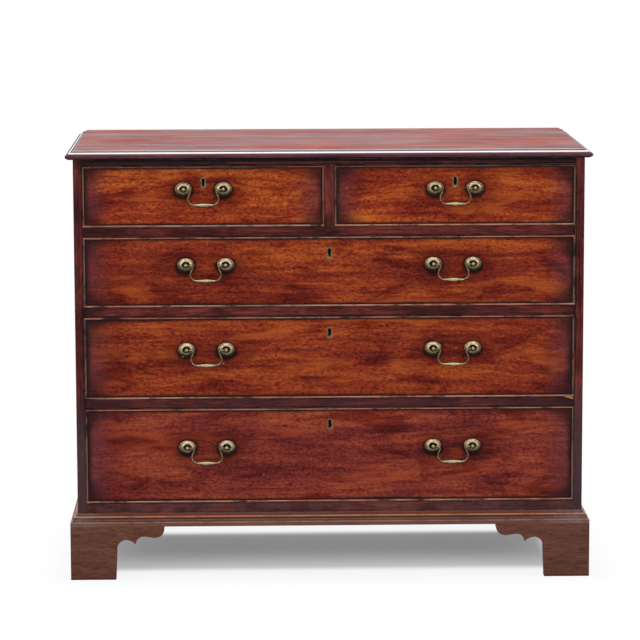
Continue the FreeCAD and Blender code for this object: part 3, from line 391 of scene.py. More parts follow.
@dataclass(frozen=True)
class Timber:
    """A wood with a figure drawn out along its grain; the finishes below add their own marks.

    The sizes of streaks, ribbons and pores are along and across the grain, and the shares say how much
    of each is in the figure.
    """

    name: str
    shades: tuple[tuple[float, Colour], ...]
    along: Axis = Axis.ACROSS
    streak: tuple[float, float] = (0.30, 0.034)
    ribbon: tuple[float, float] = (0.085, 0.0085)
    pore: tuple[float, float] = (0.020, 0.0017)
    shares: tuple[float, float, float] = (0.52, 0.30, 0.18)
    sway: float = 0.05
    wander: float = 0.5
    pore_depth: float = 0.45
    pore_levels: tuple[float, float] = (0.47, 0.33)
    pore_relief: float = 0.5
    pore_tint: Colour = tone(110, 82, 78)
    roughness: tuple[float, float] = (0.34, 0.52)
    handled_levels: tuple[float, float] = (0.3, 0.7)
    specular: float = 0.12
    ior: float = 1.5
    relief: float = 0.00012
    seed: float = 0.0
    wave: Pattern = Pattern(0.42, 0.15, shift=7, detail=1.0)
    handling: Pattern = Pattern(0.10, 0.06, shift=8, detail=3.0)

    def swayed(self, paint: Paint, place: Socket, along: Axis) -> Socket:
        """The place moved a little across the grain, so that the figure waves along the board.

        Args:
            paint, place: the material and the point.
            along: the way of the grain.

        Returns:
            The moved point.
        """
        wave = replace(self.wave, along=along).noise(paint, place, self.seed)
        shift = paint.product(paint.less(wave, HALF), self.sway)
        parts = [0.0 if axis is along else shift for axis in Axis]
        moved = paint.add("ShaderNodeVectorMath", {0: place, 1: paint.join(*parts)}, operation="ADD")
        return moved.outputs[0]

    def grain(self, paint: Paint, place: Socket, along: Axis) -> tuple[Socket, Socket]:
        """The figure from 0 to 1, and the pores as a mask.

        Args:
            paint, place: the material and the point.
            along: the way of the grain.

        Returns:
            The figure and the mask.
        """
        spot = self.swayed(paint, place, along)
        kinds = (Pattern(*self.streak, shift=0.0, detail=3.0, rough=0.55, bend=self.wander, along=along),
                 Pattern(*self.ribbon, shift=2.3, detail=3.0, rough=0.6, bend=0.3, along=along),
                 Pattern(*self.pore, shift=4.1, detail=2.0, rough=0.6, along=along))
        parts = [kind.noise(paint, spot, self.seed) for kind in kinds]
        figure = paint.total(*(paint.product(part, share) for part, share in zip(parts, self.shares)),
                             (1 - sum(self.shares)) / 2)
        return figure, paint.fade(parts[-1], *self.pore_levels)

    def shine(self, paint: Paint, place: Socket) -> Socket:
        """Roughness that varies with handling, in patches.

        Args:
            paint, place: the material and the point.

        Returns:
            The roughness.
        """
        wear = replace(self.handling, along=self.along).noise(paint, place, self.seed)
        feeds = {"Value": wear}
        feeds.update(zip(("From Min", "From Max", "To Min", "To Max"), self.handled_levels + self.roughness))
        return paint.add("ShaderNodeMapRange", feeds).outputs[0]

    def wood(self, paint: Paint, place: Socket) -> Coat:
        """The bare wood with its figure and pores.

        Args:
            paint, place: the material and the point.

        Returns:
            Its colour, roughness and relief.
        """
        figure, pores = self.grain(paint, place, self.along)
        colour = paint.darken(paint.ramp(figure, self.shades), paint.product(pores, self.pore_depth),
                              self.pore_tint)
        return Coat(colour, self.shine(paint, place),
                    paint.less(figure, paint.product(pores, self.pore_relief)))

    def marks(self, paint: Paint, place: Socket, coat: Coat) -> Coat:
        """The marks of age and use that a finish adds; a plain wood has none."""
        return coat

    def material(self) -> bpy.types.Material:
        """Build the material.

        Returns:
            The material.
        """
        paint = Paint(self.name)
        place = paint.place()
        coat = self.marks(paint, place, self.wood(paint, place))
        return paint.surface(coat, self.relief, Specular_IOR_Level=self.specular, IOR=self.ior)


@dataclass(frozen=True)
class BoardedTimber(Timber):
    """Rough boards one above another, each with its own figure and a dark joint to the next."""

    joints: tuple[float, ...] = ()
    next_board: tuple[float, float] = (1.7, 0.31)
    luck_step: float = 0.618
    cloud: Pattern = Pattern(0.22, 0.08, shift=12, detail=4.0, rough=0.6)
    shading: Stain = Stain(tone(208, 200, 196), 0.7)
    dusting: Stain = Stain(tone(176, 166, 160), 0.55, 0.44, 0.66)
    joint_dirt: Stain = Stain(tone(32, 24, 18), 0.9, 0.0022, 0.0008, "MIX")

    def wood(self, paint: Paint, place: Socket) -> Coat:
        """The figure, shifted from board to board, and lighter or darker by board.

        Args:
            paint, place: the material and the point.

        Returns:
            Its colour, roughness and relief.
        """
        x, y, z = paint.split(place)
        number = paint.total(0.0, *(paint.math("GREATER_THAN", z, level) for level in self.joints))
        along, up = self.next_board
        moved = paint.join(paint.total(x, paint.product(number, along)), y,
                           paint.total(z, paint.product(number, up)))
        coat = super().wood(paint, moved)
        luck = paint.math("FRACT", paint.product(number, self.luck_step))
        return Coat(self.shading.laid(paint, coat.colour, luck), coat.roughness, coat.relief)

    def marks(self, paint: Paint, place: Socket, coat: Coat) -> Coat:
        """Grey dust in clouds, and the joints.

        Args:
            paint, place: the material and the point.
            coat: the wood so far.

        Returns:
            The marked wood.
        """
        colour = self.dusting.over(paint, coat.colour, self.cloud.noise(paint, place, self.seed))
        for level in self.joints:
            away = paint.apart(paint.split(place)[2], level)
            colour = self.joint_dirt.over(paint, colour, away)
        return Coat(colour, coat.roughness, coat.relief)


@dataclass(frozen=True)
class Halo:
    """A ragged oval mask round each rose: wider than high, and hanging a little under the posts."""

    flat: float
    hang: float
    ragged: float
    outer: float
    inner: float

    def mask(self, paint: Paint, aside: Socket, fall: Socket, luck: Socket) -> Socket:
        """1 inside the oval and 0 outside it.

        Args:
            aside, fall: how far a point is beside and over the nearest post.
            luck: a noise about zero that makes the outline ragged.

        Returns:
            The mask.
        """
        away = paint.length_of(paint.product(aside, self.flat), paint.total(fall, self.hang))
        return paint.fade(paint.total(away, paint.product(luck, self.ragged)), self.outer, self.inner)


@dataclass(frozen=True)
class DrawerTimber(Timber):
    """A drawer front: blackened round its edge and its roses, freckled and a little scuffed."""

    low: tuple[float, float] = (0.0, 0.0)
    high: tuple[float, float] = (1.0, 1.0)
    handles: tuple[float, ...] = (0.0,)
    level: float = 0.0
    post_half: float = 0.04
    bead: float = 0.0032
    cloud: Pattern = Pattern(0.13, 0.042, shift=11, detail=5.0, rough=0.62, bend=0.6)
    flame: Pattern = Pattern(0.17, 0.030, shift=27, detail=4.0, rough=0.6, bend=0.7)
    crowd: Pattern = Pattern(0.10, 0.06, shift=17, detail=3.0)
    dash: Pattern = Pattern(0.0078, 0.0042, shift=5, detail=2.0, rough=0.6)
    spot: Pattern = Pattern(0.019, 0.015, shift=3)
    scuff: Pattern = Pattern(0.047, 0.040, shift=31, along=Axis.UP)
    crowd_levels: tuple[float, float] = (0.42, 0.62)
    spot_size: float = 0.13
    lone_spots: float = 0.25
    spot_relief: float = 1.5
    scuff_size: float = 0.034
    flaring: Stain = Stain(tone(172, 86, 34), 0.55, 0.53, 0.66, "MIX")
    clouding: Stain = Stain(tone(170, 104, 108), 0.80, 0.48, 0.64)
    freckling: Stain = Stain(tone(120, 78, 84), 0.5, 0.56, 0.70)
    spotting: Stain = Stain(tone(86, 58, 68), 0.9)
    hand_stain: Stain = Stain(tone(154, 88, 104), 0.60)
    rose_dirt: Stain = Stain(tone(74, 62, 80), 0.95)
    left_stain: float = 0.62
    left_reach: float = 0.16
    right_stain: float = 0.36
    right_reach: float = 0.10
    end_tint: Colour = tone(188, 138, 146)
    film: Stain = Stain(tone(88, 53, 61), 0.40, mode="MIX")
    film_reach: tuple[float, float] = (0.070, 0.004)
    rim_dirt: Stain = Stain(tone(104, 96, 94), 0.82)
    line_dirt: Stain = Stain(tone(24, 20, 19), 0.88, mode="MIX")
    scuffing: Stain = Stain(tone(190, 128, 108), 0.55, mode="MIX")
    rose_halo: Halo = Halo(0.84, 0.0035, 0.016, 0.0226, 0.0142)
    hand_halo: Halo = Halo(0.72, 0.006, 0.12, 0.047, 0.014)
    rim_reach: tuple[float, float] = (0.015, 0.007)
    rim_ragged: float = 1.5
    corner_reach: tuple[float, float] = (0.014, 0.070)
    corner_ragged: float = 0.07
    line_width: tuple[float, float] = (0.0044, 0.0006)
    line_ragged: float = 0.008
    line_at_ends: float = 0.62

    def marks(self, paint: Paint, place: Socket, coat: Coat) -> Coat:
        """Clouds, the specks, the halos, the stained ends, the dark rim and the scuffs.

        Args:
            paint, place: the material and the point.
            coat: the wood so far.

        Returns:
            The marked wood.
        """
        x, _, z = paint.split(place)
        cloud = self.cloud.noise(paint, place, self.seed)
        colour = self.flaring.over(paint, coat.colour, self.flame.noise(paint, place, self.seed))
        colour = self.clouding.over(paint, colour, cloud)
        crowd = paint.fade(self.crowd.noise(paint, place, self.seed), *self.crowd_levels)
        colour = self.freckling.over(paint, colour, self.dash.noise(paint, place, self.seed), crowd)
        spots = self.spot.specks(paint, place, self.seed, self.spot_size)
        colour = self.spotting.laid(paint, colour, spots, paint.total(self.lone_spots, crowd))
        luck = paint.less(cloud, HALF)
        halo, glow = self.halos(paint, x, z, luck)
        rim, line = self.rim(paint, x, z, luck)
        colour = self.hand_stain.laid(paint, colour, glow)
        colour = self.rose_dirt.laid(paint, colour, halo)
        colour = self.stained_ends(paint, x, colour)
        # darker round the edge and in the corners, and a thin black line just inside the beads
        colour = self.rim_dirt.laid(paint, colour, rim)
        colour = self.line_dirt.laid(paint, colour, line)
        scuffs = self.scuff.specks(paint, place, self.seed, self.scuff_size)
        colour = self.scuffing.laid(paint, colour, scuffs)
        pitted = paint.less(coat.relief, paint.product(spots, self.spot_relief))
        return Coat(colour, coat.roughness, pitted)

    def stained_ends(self, paint: Paint, x: Socket, colour: Socket) -> Socket:
        """The colour with both ends of the front darkened and under a grey film.

        Args:
            paint, x: the material and the point's X.
            colour: the colour so far.

        Returns:
            The stained colour.
        """
        left, right = self.low[0], self.high[0]
        width = right - left
        stain = paint.total(
            paint.product(paint.fade(x, left + self.left_reach * width, left), self.left_stain),
            paint.product(paint.fade(x, right - self.right_reach, right), self.right_stain))
        colour = paint.darken(colour, stain, self.end_tint)
        inner, outer = (width / 2 - reach for reach in self.film_reach)
        film = paint.fade(paint.apart(x, (left + right) / 2), inner, outer)
        return self.film.laid(paint, colour, film)

    def rim(self, paint: Paint, x: Socket, z: Socket, luck: Socket) -> tuple[Socket, Socket]:
        """The broad dark rim and the thin black line inside the cockbeads.

        Args:
            paint, x, z: the material and the point's X and Z.
            luck: a noise about zero.

        Returns:
            The masks of the rim and of the line.
        """
        gaps = []
        for part, low, high in ((x, self.low[0], self.high[0]), (z, self.low[1], self.high[1])):
            away = paint.apart(part, (low + high) / 2)
            gaps.append(paint.less((high - low) / 2 - self.bead, away))
        clear = [paint.fade(paint.total(gap, paint.product(luck, reach * self.rim_ragged)), 0.0, reach)
                 for gap, reach in zip(gaps, self.rim_reach)]
        corner = paint.fade(paint.total(*gaps, paint.product(luck, self.corner_ragged)), *self.corner_reach)
        rim = paint.less(1.0, paint.product(*clear, corner))
        nearest = paint.math("MINIMUM", paint.product(gaps[0], self.line_at_ends), gaps[1])
        line = paint.fade(paint.total(nearest, paint.product(luck, self.line_ragged)), *self.line_width)
        return rim, line

    def halos(self, paint: Paint, x: Socket, z: Socket, luck: Socket) -> tuple[Socket, Socket]:
        """A dark ring round each rose, hanging a little below it, and the fainter dark where hands reach
        behind the bail.

        Args:
            paint, x, z: the material and the point's X and Z.
            luck: a noise about zero.

        Returns:
            Both masks.
        """
        nearest = None
        for middle in self.handles:
            away = paint.apart(x, middle)
            nearest = away if nearest is None else paint.math("MINIMUM", nearest, away)
        fall = paint.less(z, self.level)
        aside = paint.less(nearest, self.post_half)
        return (self.rose_halo.mask(paint, aside, fall, luck), self.hand_halo.mask(paint, aside, fall, luck))


@dataclass(frozen=True)
class Band:
    """A stripe along a board: its height above the floor, how thick it is, and its look."""

    level: float
    half: float
    colour: Colour
    strength: float = 1.0
    broken: float = 0.5
    full_share: float = 0.5
    breaks: Pattern = Pattern(0.045, 0.045, detail=5.0, rough=0.7)
    gone_levels: tuple[float, float] = (0.34, 0.16)
    whole_levels: tuple[float, float] = (0.38, 0.24)

    def over(self, paint: Paint, place: Socket, colour: Socket, inside: Socket, seed: float) -> Socket:
        """The colour with the stripe over it.

        Args:
            paint: the material's tree.
            place: the point.
            colour: the colour so far.
            inside: 1 where the stripe may be.
            seed: where the stripe is broken.

        Returns:
            The striped colour.
        """
        away = paint.apart(paint.split(place)[2], self.level)
        stripe = paint.product(paint.fade(away, self.half, self.half * self.full_share), inside)
        gone, whole = (start + slope * self.broken for start, slope in (self.gone_levels, self.whole_levels))
        kept = paint.fade(self.breaks.noise(paint, place, seed), gone, whole)
        kept = paint.math("MAXIMUM", kept, 1 - self.broken)
        return paint.blend(paint.product(stripe, kept, self.strength), colour, self.colour)


@dataclass(frozen=True)
class CaseTimber(Timber):
    """Dark case wood: its grain runs up the sides and across the rails between them."""

    opening_half: float = 2.0
    bands: tuple[Band, ...] = ()
    arris: Colour = tone(150, 76, 46)
    worn: tuple[float, float] = (0.44, 0.60)
    cloudy: float = 0.72
    corner_grime: float = 0.0
    dusty: float = 0.0
    grime_reach: float = 0.022
    grime_top: float = 0.0
    grime_full: float = 0.003
    ragged: float = 0.06
    sidelong: tuple[float, float] = (0.5, 0.9)
    cloud: Pattern = Pattern(0.16, 0.11, shift=13, detail=4.0, rough=0.6)
    bloom: Pattern = Pattern(0.62, 0.026, shift=16, detail=5.0, rough=0.66, bend=0.4, along=Axis.UP)
    fleck: Pattern = Pattern(0.012, 0.012, shift=33, detail=4.0, rough=0.7)
    rubbing: Pattern = Pattern(0.040, 0.020, shift=21, detail=4.0, rough=0.7)
    clouding: Stain = Stain(tone(140, 126, 134), 1.0, 0.46, 0.62)
    blooming: Stain = Stain(tone(170, 138, 136), 1.0, 0.44, 0.60)
    corner_tint: Colour = tone(104, 124, 138)
    seam_dirt: Stain = Stain(tone(98, 94, 94), 0.8, 0.0046, 0.0014)
    seam_ragged: float = 0.03
    dusting: Stain = Stain(tone(146, 130, 124), 1.0, 0.40, 0.62, "MIX")
    even_dust: float = 0.4
    foot_grime: Colour = tone(60, 48, 50)
    foot_ragged: float = 3.0
    foot_fade: float = 0.14
    foot_front: float = 0.75
    foot_side: float = 0.40
    band_seed: float = 3.0

    def wood(self, paint: Paint, place: Socket) -> Coat:
        """The figure of the rails inside the opening and that of the sides outside it.

        Args:
            paint, place: the material and the point.

        Returns:
            Its colour, roughness and relief.
        """
        from_middle = paint.math("ABSOLUTE", paint.split(place)[0])
        outside = paint.math("GREATER_THAN", from_middle, self.opening_half)
        inside = paint.less(1.0, outside)
        across = self.grain(paint, place, Axis.ACROSS)
        upward = self.grain(paint, place, Axis.UP)
        figure, pores = [paint.total(paint.product(rail, inside), paint.product(stile, outside))
                         for rail, stile in zip(across, upward)]
        colour = paint.darken(paint.ramp(figure, self.shades), paint.product(pores, self.pore_depth),
                              self.pore_tint)
        return Coat(colour, self.shine(paint, place), figure)

    def marks(self, paint: Paint, place: Socket, coat: Coat) -> Coat:
        """Clouds of old polish, stripes (among them painted shadow and highlight lines), dirt in the corners
        and arrises rubbed to the lighter wood.

        Args:
            paint, place: the material and the point.
            coat: the wood so far.

        Returns:
            The marked wood.
        """
        x, _, z = paint.split(place)
        turned = paint.fade(paint.math("ABSOLUTE", paint.facing(Axis.ACROSS)), *self.sidelong)
        square = paint.less(1.0, turned)
        cloud = self.cloud.noise(paint, place, self.seed)
        colour = self.clouding.over(paint, coat.colour, cloud, square, self.cloudy)
        bloom = self.bloom.noise(paint, place, self.seed)
        colour = self.blooming.over(paint, colour, bloom, turned, self.cloudy)
        edge = paint.less(self.opening_half, paint.math("ABSOLUTE", x))
        inside = paint.math("GREATER_THAN", edge, 0.0)
        ragged = paint.product(paint.less(cloud, HALF), self.ragged)
        dirt = paint.product(paint.fade(paint.total(edge, ragged), self.grime_reach, self.grime_full), inside)
        colour = paint.darken(colour, paint.product(dirt, self.corner_grime), self.corner_tint)
        seam = paint.math("ABSOLUTE", paint.total(edge, paint.product(ragged, self.seam_ragged)))
        colour = self.seam_dirt.over(paint, colour, seam, square)
        # the bands: tints, and painted shadow and highlight lines
        for number, band in enumerate(self.bands):
            colour = band.over(paint, place, colour, inside, self.seed + number * self.band_seed)
        flecks = paint.fade(self.fleck.noise(paint, place, self.seed), self.dusting.start, self.dusting.end)
        colour = self.dusting.laid(paint, colour, dirt, paint.total(self.even_dust, flecks), self.dusty)
        height = paint.total(z, paint.product(ragged, self.foot_ragged))
        foot = paint.fade(height, self.grime_top, self.grime_top - self.foot_fade)
        kept = paint.less(self.foot_front, paint.product(turned, self.foot_side))
        outside = paint.math("LESS_THAN", edge, 0.0)
        colour = paint.blend(paint.product(foot, outside, kept), colour, self.foot_grime)
        luck = self.rubbing.noise(paint, place, self.seed)
        mask = paint.product(paint.marked("wear"), paint.fade(luck, *self.worn))
        return Coat(paint.blend(mask, colour, self.arris), coat.roughness, coat.relief)


@dataclass(frozen=True)
class EdgeTimber(CaseTimber):
    """The moulded edge of the top, whose stripes of painted highlight and shadow are strong at the front and
    dark at the ends.
    """

    end_facing: tuple[float, float] = (-0.02, 0.0)
    end_shade: Stain = Stain(tone(92, 76, 80), 0.92)
    end_rough: float = 0.55

    def marks(self, paint: Paint, place: Socket, coat: Coat) -> Coat:
        """The stripes, darkened as painted shade where the edge doesn't face the front.

        Args:
            paint, place: the material and the point.
            coat: the wood so far.

        Returns:
            The marked wood.
        """
        striped = super().marks(paint, place, coat)
        # painted shade on the ends of the edge
        end = paint.fade(paint.facing(Axis.DEEP), *self.end_facing)
        return Coat(self.end_shade.laid(paint, striped.colour, end),
                    paint.total(striped.roughness, paint.product(end, self.end_rough)), striped.relief)


@dataclass(frozen=True)
class TopTimber(CaseTimber):
    """The flat of the top board: faded, with long cloudy streaks where the polish has gone grey, and a
    painted highlight along its arris.
    """

    cloud: Pattern = Pattern(0.42, 0.10, shift=9, detail=5.0, rough=0.60, bend=0.5)
    flame: Pattern = Pattern(0.26, 0.16, shift=14, detail=4.0, rough=0.6, bend=0.6)
    line: Pattern = Pattern(0.150, 0.021, shift=19, detail=3.0, rough=0.65)
    dust: Pattern = Pattern(0.110, 0.008, shift=23, detail=5.0, rough=0.70)
    greying: Stain = Stain(tone(90, 80, 86), 0.82, 0.47, 0.62, "MIX")
    flaring: Stain = Stain(tone(150, 56, 34), 0.74, 0.50, 0.64, "MIX")
    lining: Stain = Stain(tone(142, 106, 110), 0.64, 0.44, 0.68)
    bleaching: Stain = Stain(tone(180, 124, 124), 0.36, 0.46, 0.70, "MIX")
    # how the painted highlight on the arris grows where it faces the front
    front_facing: tuple[float, float] = (-0.05, -0.25)
    arris_all_round: float = 0.25
    arris_at_front: float = 0.55
    rub_levels: tuple[float, float] = (0.64, 0.40)
    rub_rough: float = 0.16

    def marks(self, paint: Paint, place: Socket, coat: Coat) -> Coat:
        """Grey and orange clouds, fine streaks, dust, and a painted highlight on the arris that is strongest
        where it faces the front.

        Args:
            paint, place: the material and the point.
            coat: the wood so far.

        Returns:
            The marked wood.
        """
        cloud = self.cloud.noise(paint, place, self.seed)
        colour = self.greying.over(paint, coat.colour, cloud)
        for pattern, stain in ((self.flame, self.flaring), (self.line, self.lining),
                               (self.dust, self.bleaching)):
            colour = stain.over(paint, colour, pattern.noise(paint, place, self.seed))
        # painted highlight on the arris, strongest on the front
        front = paint.fade(paint.facing(Axis.DEEP), *self.front_facing)
        strong = paint.total(self.arris_all_round, paint.product(front, self.arris_at_front))
        colour = paint.blend(paint.product(paint.marked("wear"), strong), colour, self.arris)
        rub = paint.product(paint.fade(cloud, *self.rub_levels), self.rub_rough)
        return Coat(colour, paint.total(coat.roughness, rub), coat.relief)


@dataclass(frozen=True)
class BeadTimber(Timber):
    """A cockbead: black at its root, its nose rubbed to the bare wood; the top bead's upper edge stays black
    as a painted shadow of the gap over it.
    """

    root: float = 0.0
    nose: float = 0.003
    low: float = 0.0
    high: float = 1.0
    thickness: float = 0.0035
    nose_shares: tuple[float, float] = (0.50, 0.88)
    head_rub: Colour = tone(164, 108, 86)
    # the bottom bead's nose: wear, and a painted highlight
    foot_rub: Colour = tone(176, 124, 100)
    side_rub: Colour = tone(108, 81, 68)
    luck: Pattern = Pattern(0.055, 0.055, shift=6, detail=5.0, rough=0.72)
    luck_levels: tuple[float, float] = (0.33, 0.56)
    # painted shadow: the top bead's upper edge stays black, as the gap over it
    top_edge: tuple[float, float] = (0.0002, 0.0010)
    patch: Pattern = Pattern(0.15, 0.15, shift=1.5, detail=3.0)
    patching: Stain = Stain(tone(138, 80, 52), 0.6, 0.50, 0.64, "MIX")

    def marks(self, paint: Paint, place: Socket, coat: Coat) -> Coat:
        """The rubbed nose, in its own colour on the top, the bottom and the sides; the bottom one's lighter
        colour is also a painted highlight.

        Args:
            paint, place: the material and the point.
            coat: the wood so far.

        Returns:
            The marked wood.
        """
        _, y, z = paint.split(place)
        proud = paint.fade(y, *(self.root - self.nose * share for share in self.nose_shares))
        worn = paint.product(proud, paint.fade(self.luck.noise(paint, place, self.seed), *self.luck_levels),
                             paint.fade(z, *(self.high - down for down in self.top_edge)))
        foot = paint.math("LESS_THAN", z, self.low + self.thickness)
        head = paint.math("GREATER_THAN", z, self.high - self.thickness)
        rub = paint.blend(head, paint.blend(foot, self.side_rub, self.foot_rub), self.head_rub)
        rub = self.patching.over(paint, rub, self.patch.noise(paint, place, self.seed))
        return Coat(paint.blend(worn, coat.colour, rub), coat.roughness, coat.relief)


@dataclass(frozen=True)
class Metal:
    """An aged metal: bright where it is rubbed, dull elsewhere and dark in its hollows, with painted light on
    its upward faces and painted shade where it is seen edge-on.
    """

    name: str
    bright: Colour
    dull: Colour
    patina: Colour
    roughness: tuple[float, float] = (0.26, 0.55)
    metallic: float = 1.0
    grain: float = 0.004
    mottle: float = 0.8
    # painted light: how much brighter the upward faces are
    lit: float = 0.34
    # painted shade where the surface is seen edge-on
    edge_grime: float = 0.42
    bright_levels: tuple[float, float] = (0.38, 0.92)
    patina_levels: tuple[float, float] = (0.40, 0.06)
    patina_strength: float = 0.95
    relief: float = 0.00008
    seed: float = 0.0

    def material(self) -> bpy.types.Material:
        """Build the material; a piece's own attribute 'rub' says where hands polish it.

        Returns:
            The material.
        """
        paint = Paint(self.name)
        cloud = Pattern(self.grain, self.grain, detail=4.0, rough=0.65).noise(paint, paint.place(), self.seed)
        turned = paint.add("ShaderNodeLayerWeight", {"Blend": HALF}).outputs["Facing"]
        # the level holds the rub, a mottle, painted light on upward faces and painted shade at grazing views
        level = paint.total(paint.marked("rub"),
                            paint.product(paint.less(cloud, HALF), self.mottle),
                            paint.product(paint.facing(Axis.UP), self.lit),
                            paint.product(turned, -self.edge_grime))
        bright = paint.fade(level, *self.bright_levels)
        colour = paint.blend(bright, self.dull, self.bright)
        patina = Stain(self.patina, self.patina_strength, *self.patina_levels, mode="MIX")
        low, high = self.roughness
        roughness = paint.add("ShaderNodeMapRange", {"Value": bright, "To Min": high, "To Max": low})
        return paint.surface(Coat(patina.over(paint, colour, level), roughness.outputs[0], cloud),
                             self.relief, Metallic=self.metallic)


# ---- meshes


class MeshWork:
    """Turning frame nodes and node trees into plain, finished pieces."""

    DECIMALS = 5
    FLAT = math.radians(0.4)
    SHARP = math.radians(28)
    ROUNDNESS = 0.6

    @staticmethod
    def copy_of(node: str) -> bmesh.types.BMesh:
        """A copy of a frame node's mesh, each solid merged by itself, with its flat faces whole again.

        Args:
            node: the node's name.

        Returns:
            The copy.
        """
        work = bmesh.new()
        work.from_mesh(frame["nodes"][node].data)
        solids: list[set[bmesh.types.BMVert]] = [set()]
        unpaired: set[frozenset[tuple[float, ...]]] = set()
        for face in work.faces:
            solids[-1].update(face.verts)
            unpaired ^= {frozenset(tuple(round(value, MeshWork.DECIMALS) for value in vertex.co)
                                   for vertex in edge.verts) for edge in face.edges}
            if not unpaired:
                solids.append(set())
        for corners in solids:
            ordered = sorted(corners, key=lambda vertex: vertex.index)
            bmesh.ops.remove_doubles(work, verts=ordered, dist=WELD)
        bmesh.ops.dissolve_limit(work, angle_limit=MeshWork.FLAT, verts=work.verts, edges=work.edges)
        return work

    @staticmethod
    def islands(work: bmesh.types.BMesh) -> list[list[bmesh.types.BMVert]]:
        """The separate solids of a mesh, each as its vertices.

        Args:
            work: the mesh.

        Returns:
            The vertices of each solid.
        """
        left = set(work.verts)
        found = []
        while left:
            seed = left.pop()
            island, edge_of_search = [seed], [seed]
            while edge_of_search:
                vertex = edge_of_search.pop()
                for edge in vertex.link_edges:
                    other = edge.other_vert(vertex)
                    if other in left:
                        left.remove(other)
                        island.append(other)
                        edge_of_search.append(other)
            found.append(island)
        return found

    @staticmethod
    def box_of(points: Sequence[Vector]) -> tuple[Vector, Vector]:
        """The lowest and highest corner of some points."""
        return (Vector(min(point[axis] for point in points) for axis in range(3)),
                Vector(max(point[axis] for point in points) for axis in range(3)))

    @staticmethod
    def soften(work: bmesh.types.BMesh, width: float, choose: Callable[[bmesh.types.BMEdge], bool],
               segments: int = 2) -> None:
        """Take off the chosen sharp edges and mark the new faces as worn.

        Args:
            work: the mesh.
            width: how far the edge is taken back.
            choose: says whether an edge is to be softened.
            segments: faces across a softened edge.
        """
        layer = work.faces.layers.float.get("wear") or work.faces.layers.float.new("wear")
        low, high = MeshWork.box_of([vertex.co for vertex in work.verts])
        sharp = [edge for edge in work.edges if len(edge.link_faces) == 2 and edge.is_convex
                 and edge.calc_face_angle(0.0) > MeshWork.SHARP and choose(edge)]
        made = bmesh.ops.bevel(work, geom=sharp, offset=width, segments=segments, profile=MeshWork.ROUNDNESS,
                               affect="EDGES", clamp_overlap=True, offset_type="OFFSET")
        for face in made["faces"]:
            face[layer] = 1.0
        for vertex in work.verts:
            vertex.co = [min(max(part, least), most) for part, least, most in zip(vertex.co, low, high)]

    @staticmethod
    def solid(work: bmesh.types.BMesh, name: str, materials: Sequence[bpy.types.Material],
              smooth: float = 32.0) -> bpy.types.Object:
        """Make an object from a finished mesh.

        Args:
            work: the mesh, which is freed.
            name: the piece's name.
            materials: its materials, in slot order.
            smooth: edges flatter than this many degrees are shaded smooth.

        Returns:
            The object, in the scene.
        """
        mesh = bpy.data.meshes.new(name)
        work.to_mesh(mesh)
        work.free()
        mesh.polygons.foreach_set("use_smooth", [True] * len(mesh.polygons))
        mesh.set_sharp_from_angle(angle=math.radians(smooth))
        for material in materials:
            mesh.materials.append(material)
        piece = bpy.data.objects.new(name, mesh)
        bpy.context.scene.collection.objects.link(piece)
        return piece

    @staticmethod
    def applied(piece: bpy.types.Object) -> bpy.types.Object:
        """Turn the result of a piece's modifiers into its plain mesh.

        Args:
            piece: the piece.

        Returns:
            The same piece, without modifiers.
        """
        seen = piece.evaluated_get(bpy.context.evaluated_depsgraph_get())
        mesh = bpy.data.meshes.new_from_object(seen, preserve_all_data_layers=True,
                                               depsgraph=bpy.context.evaluated_depsgraph_get())
        mesh.name = piece.name
        piece.modifiers.clear()
        piece.data = mesh
        return piece


# ---- geometry node trees


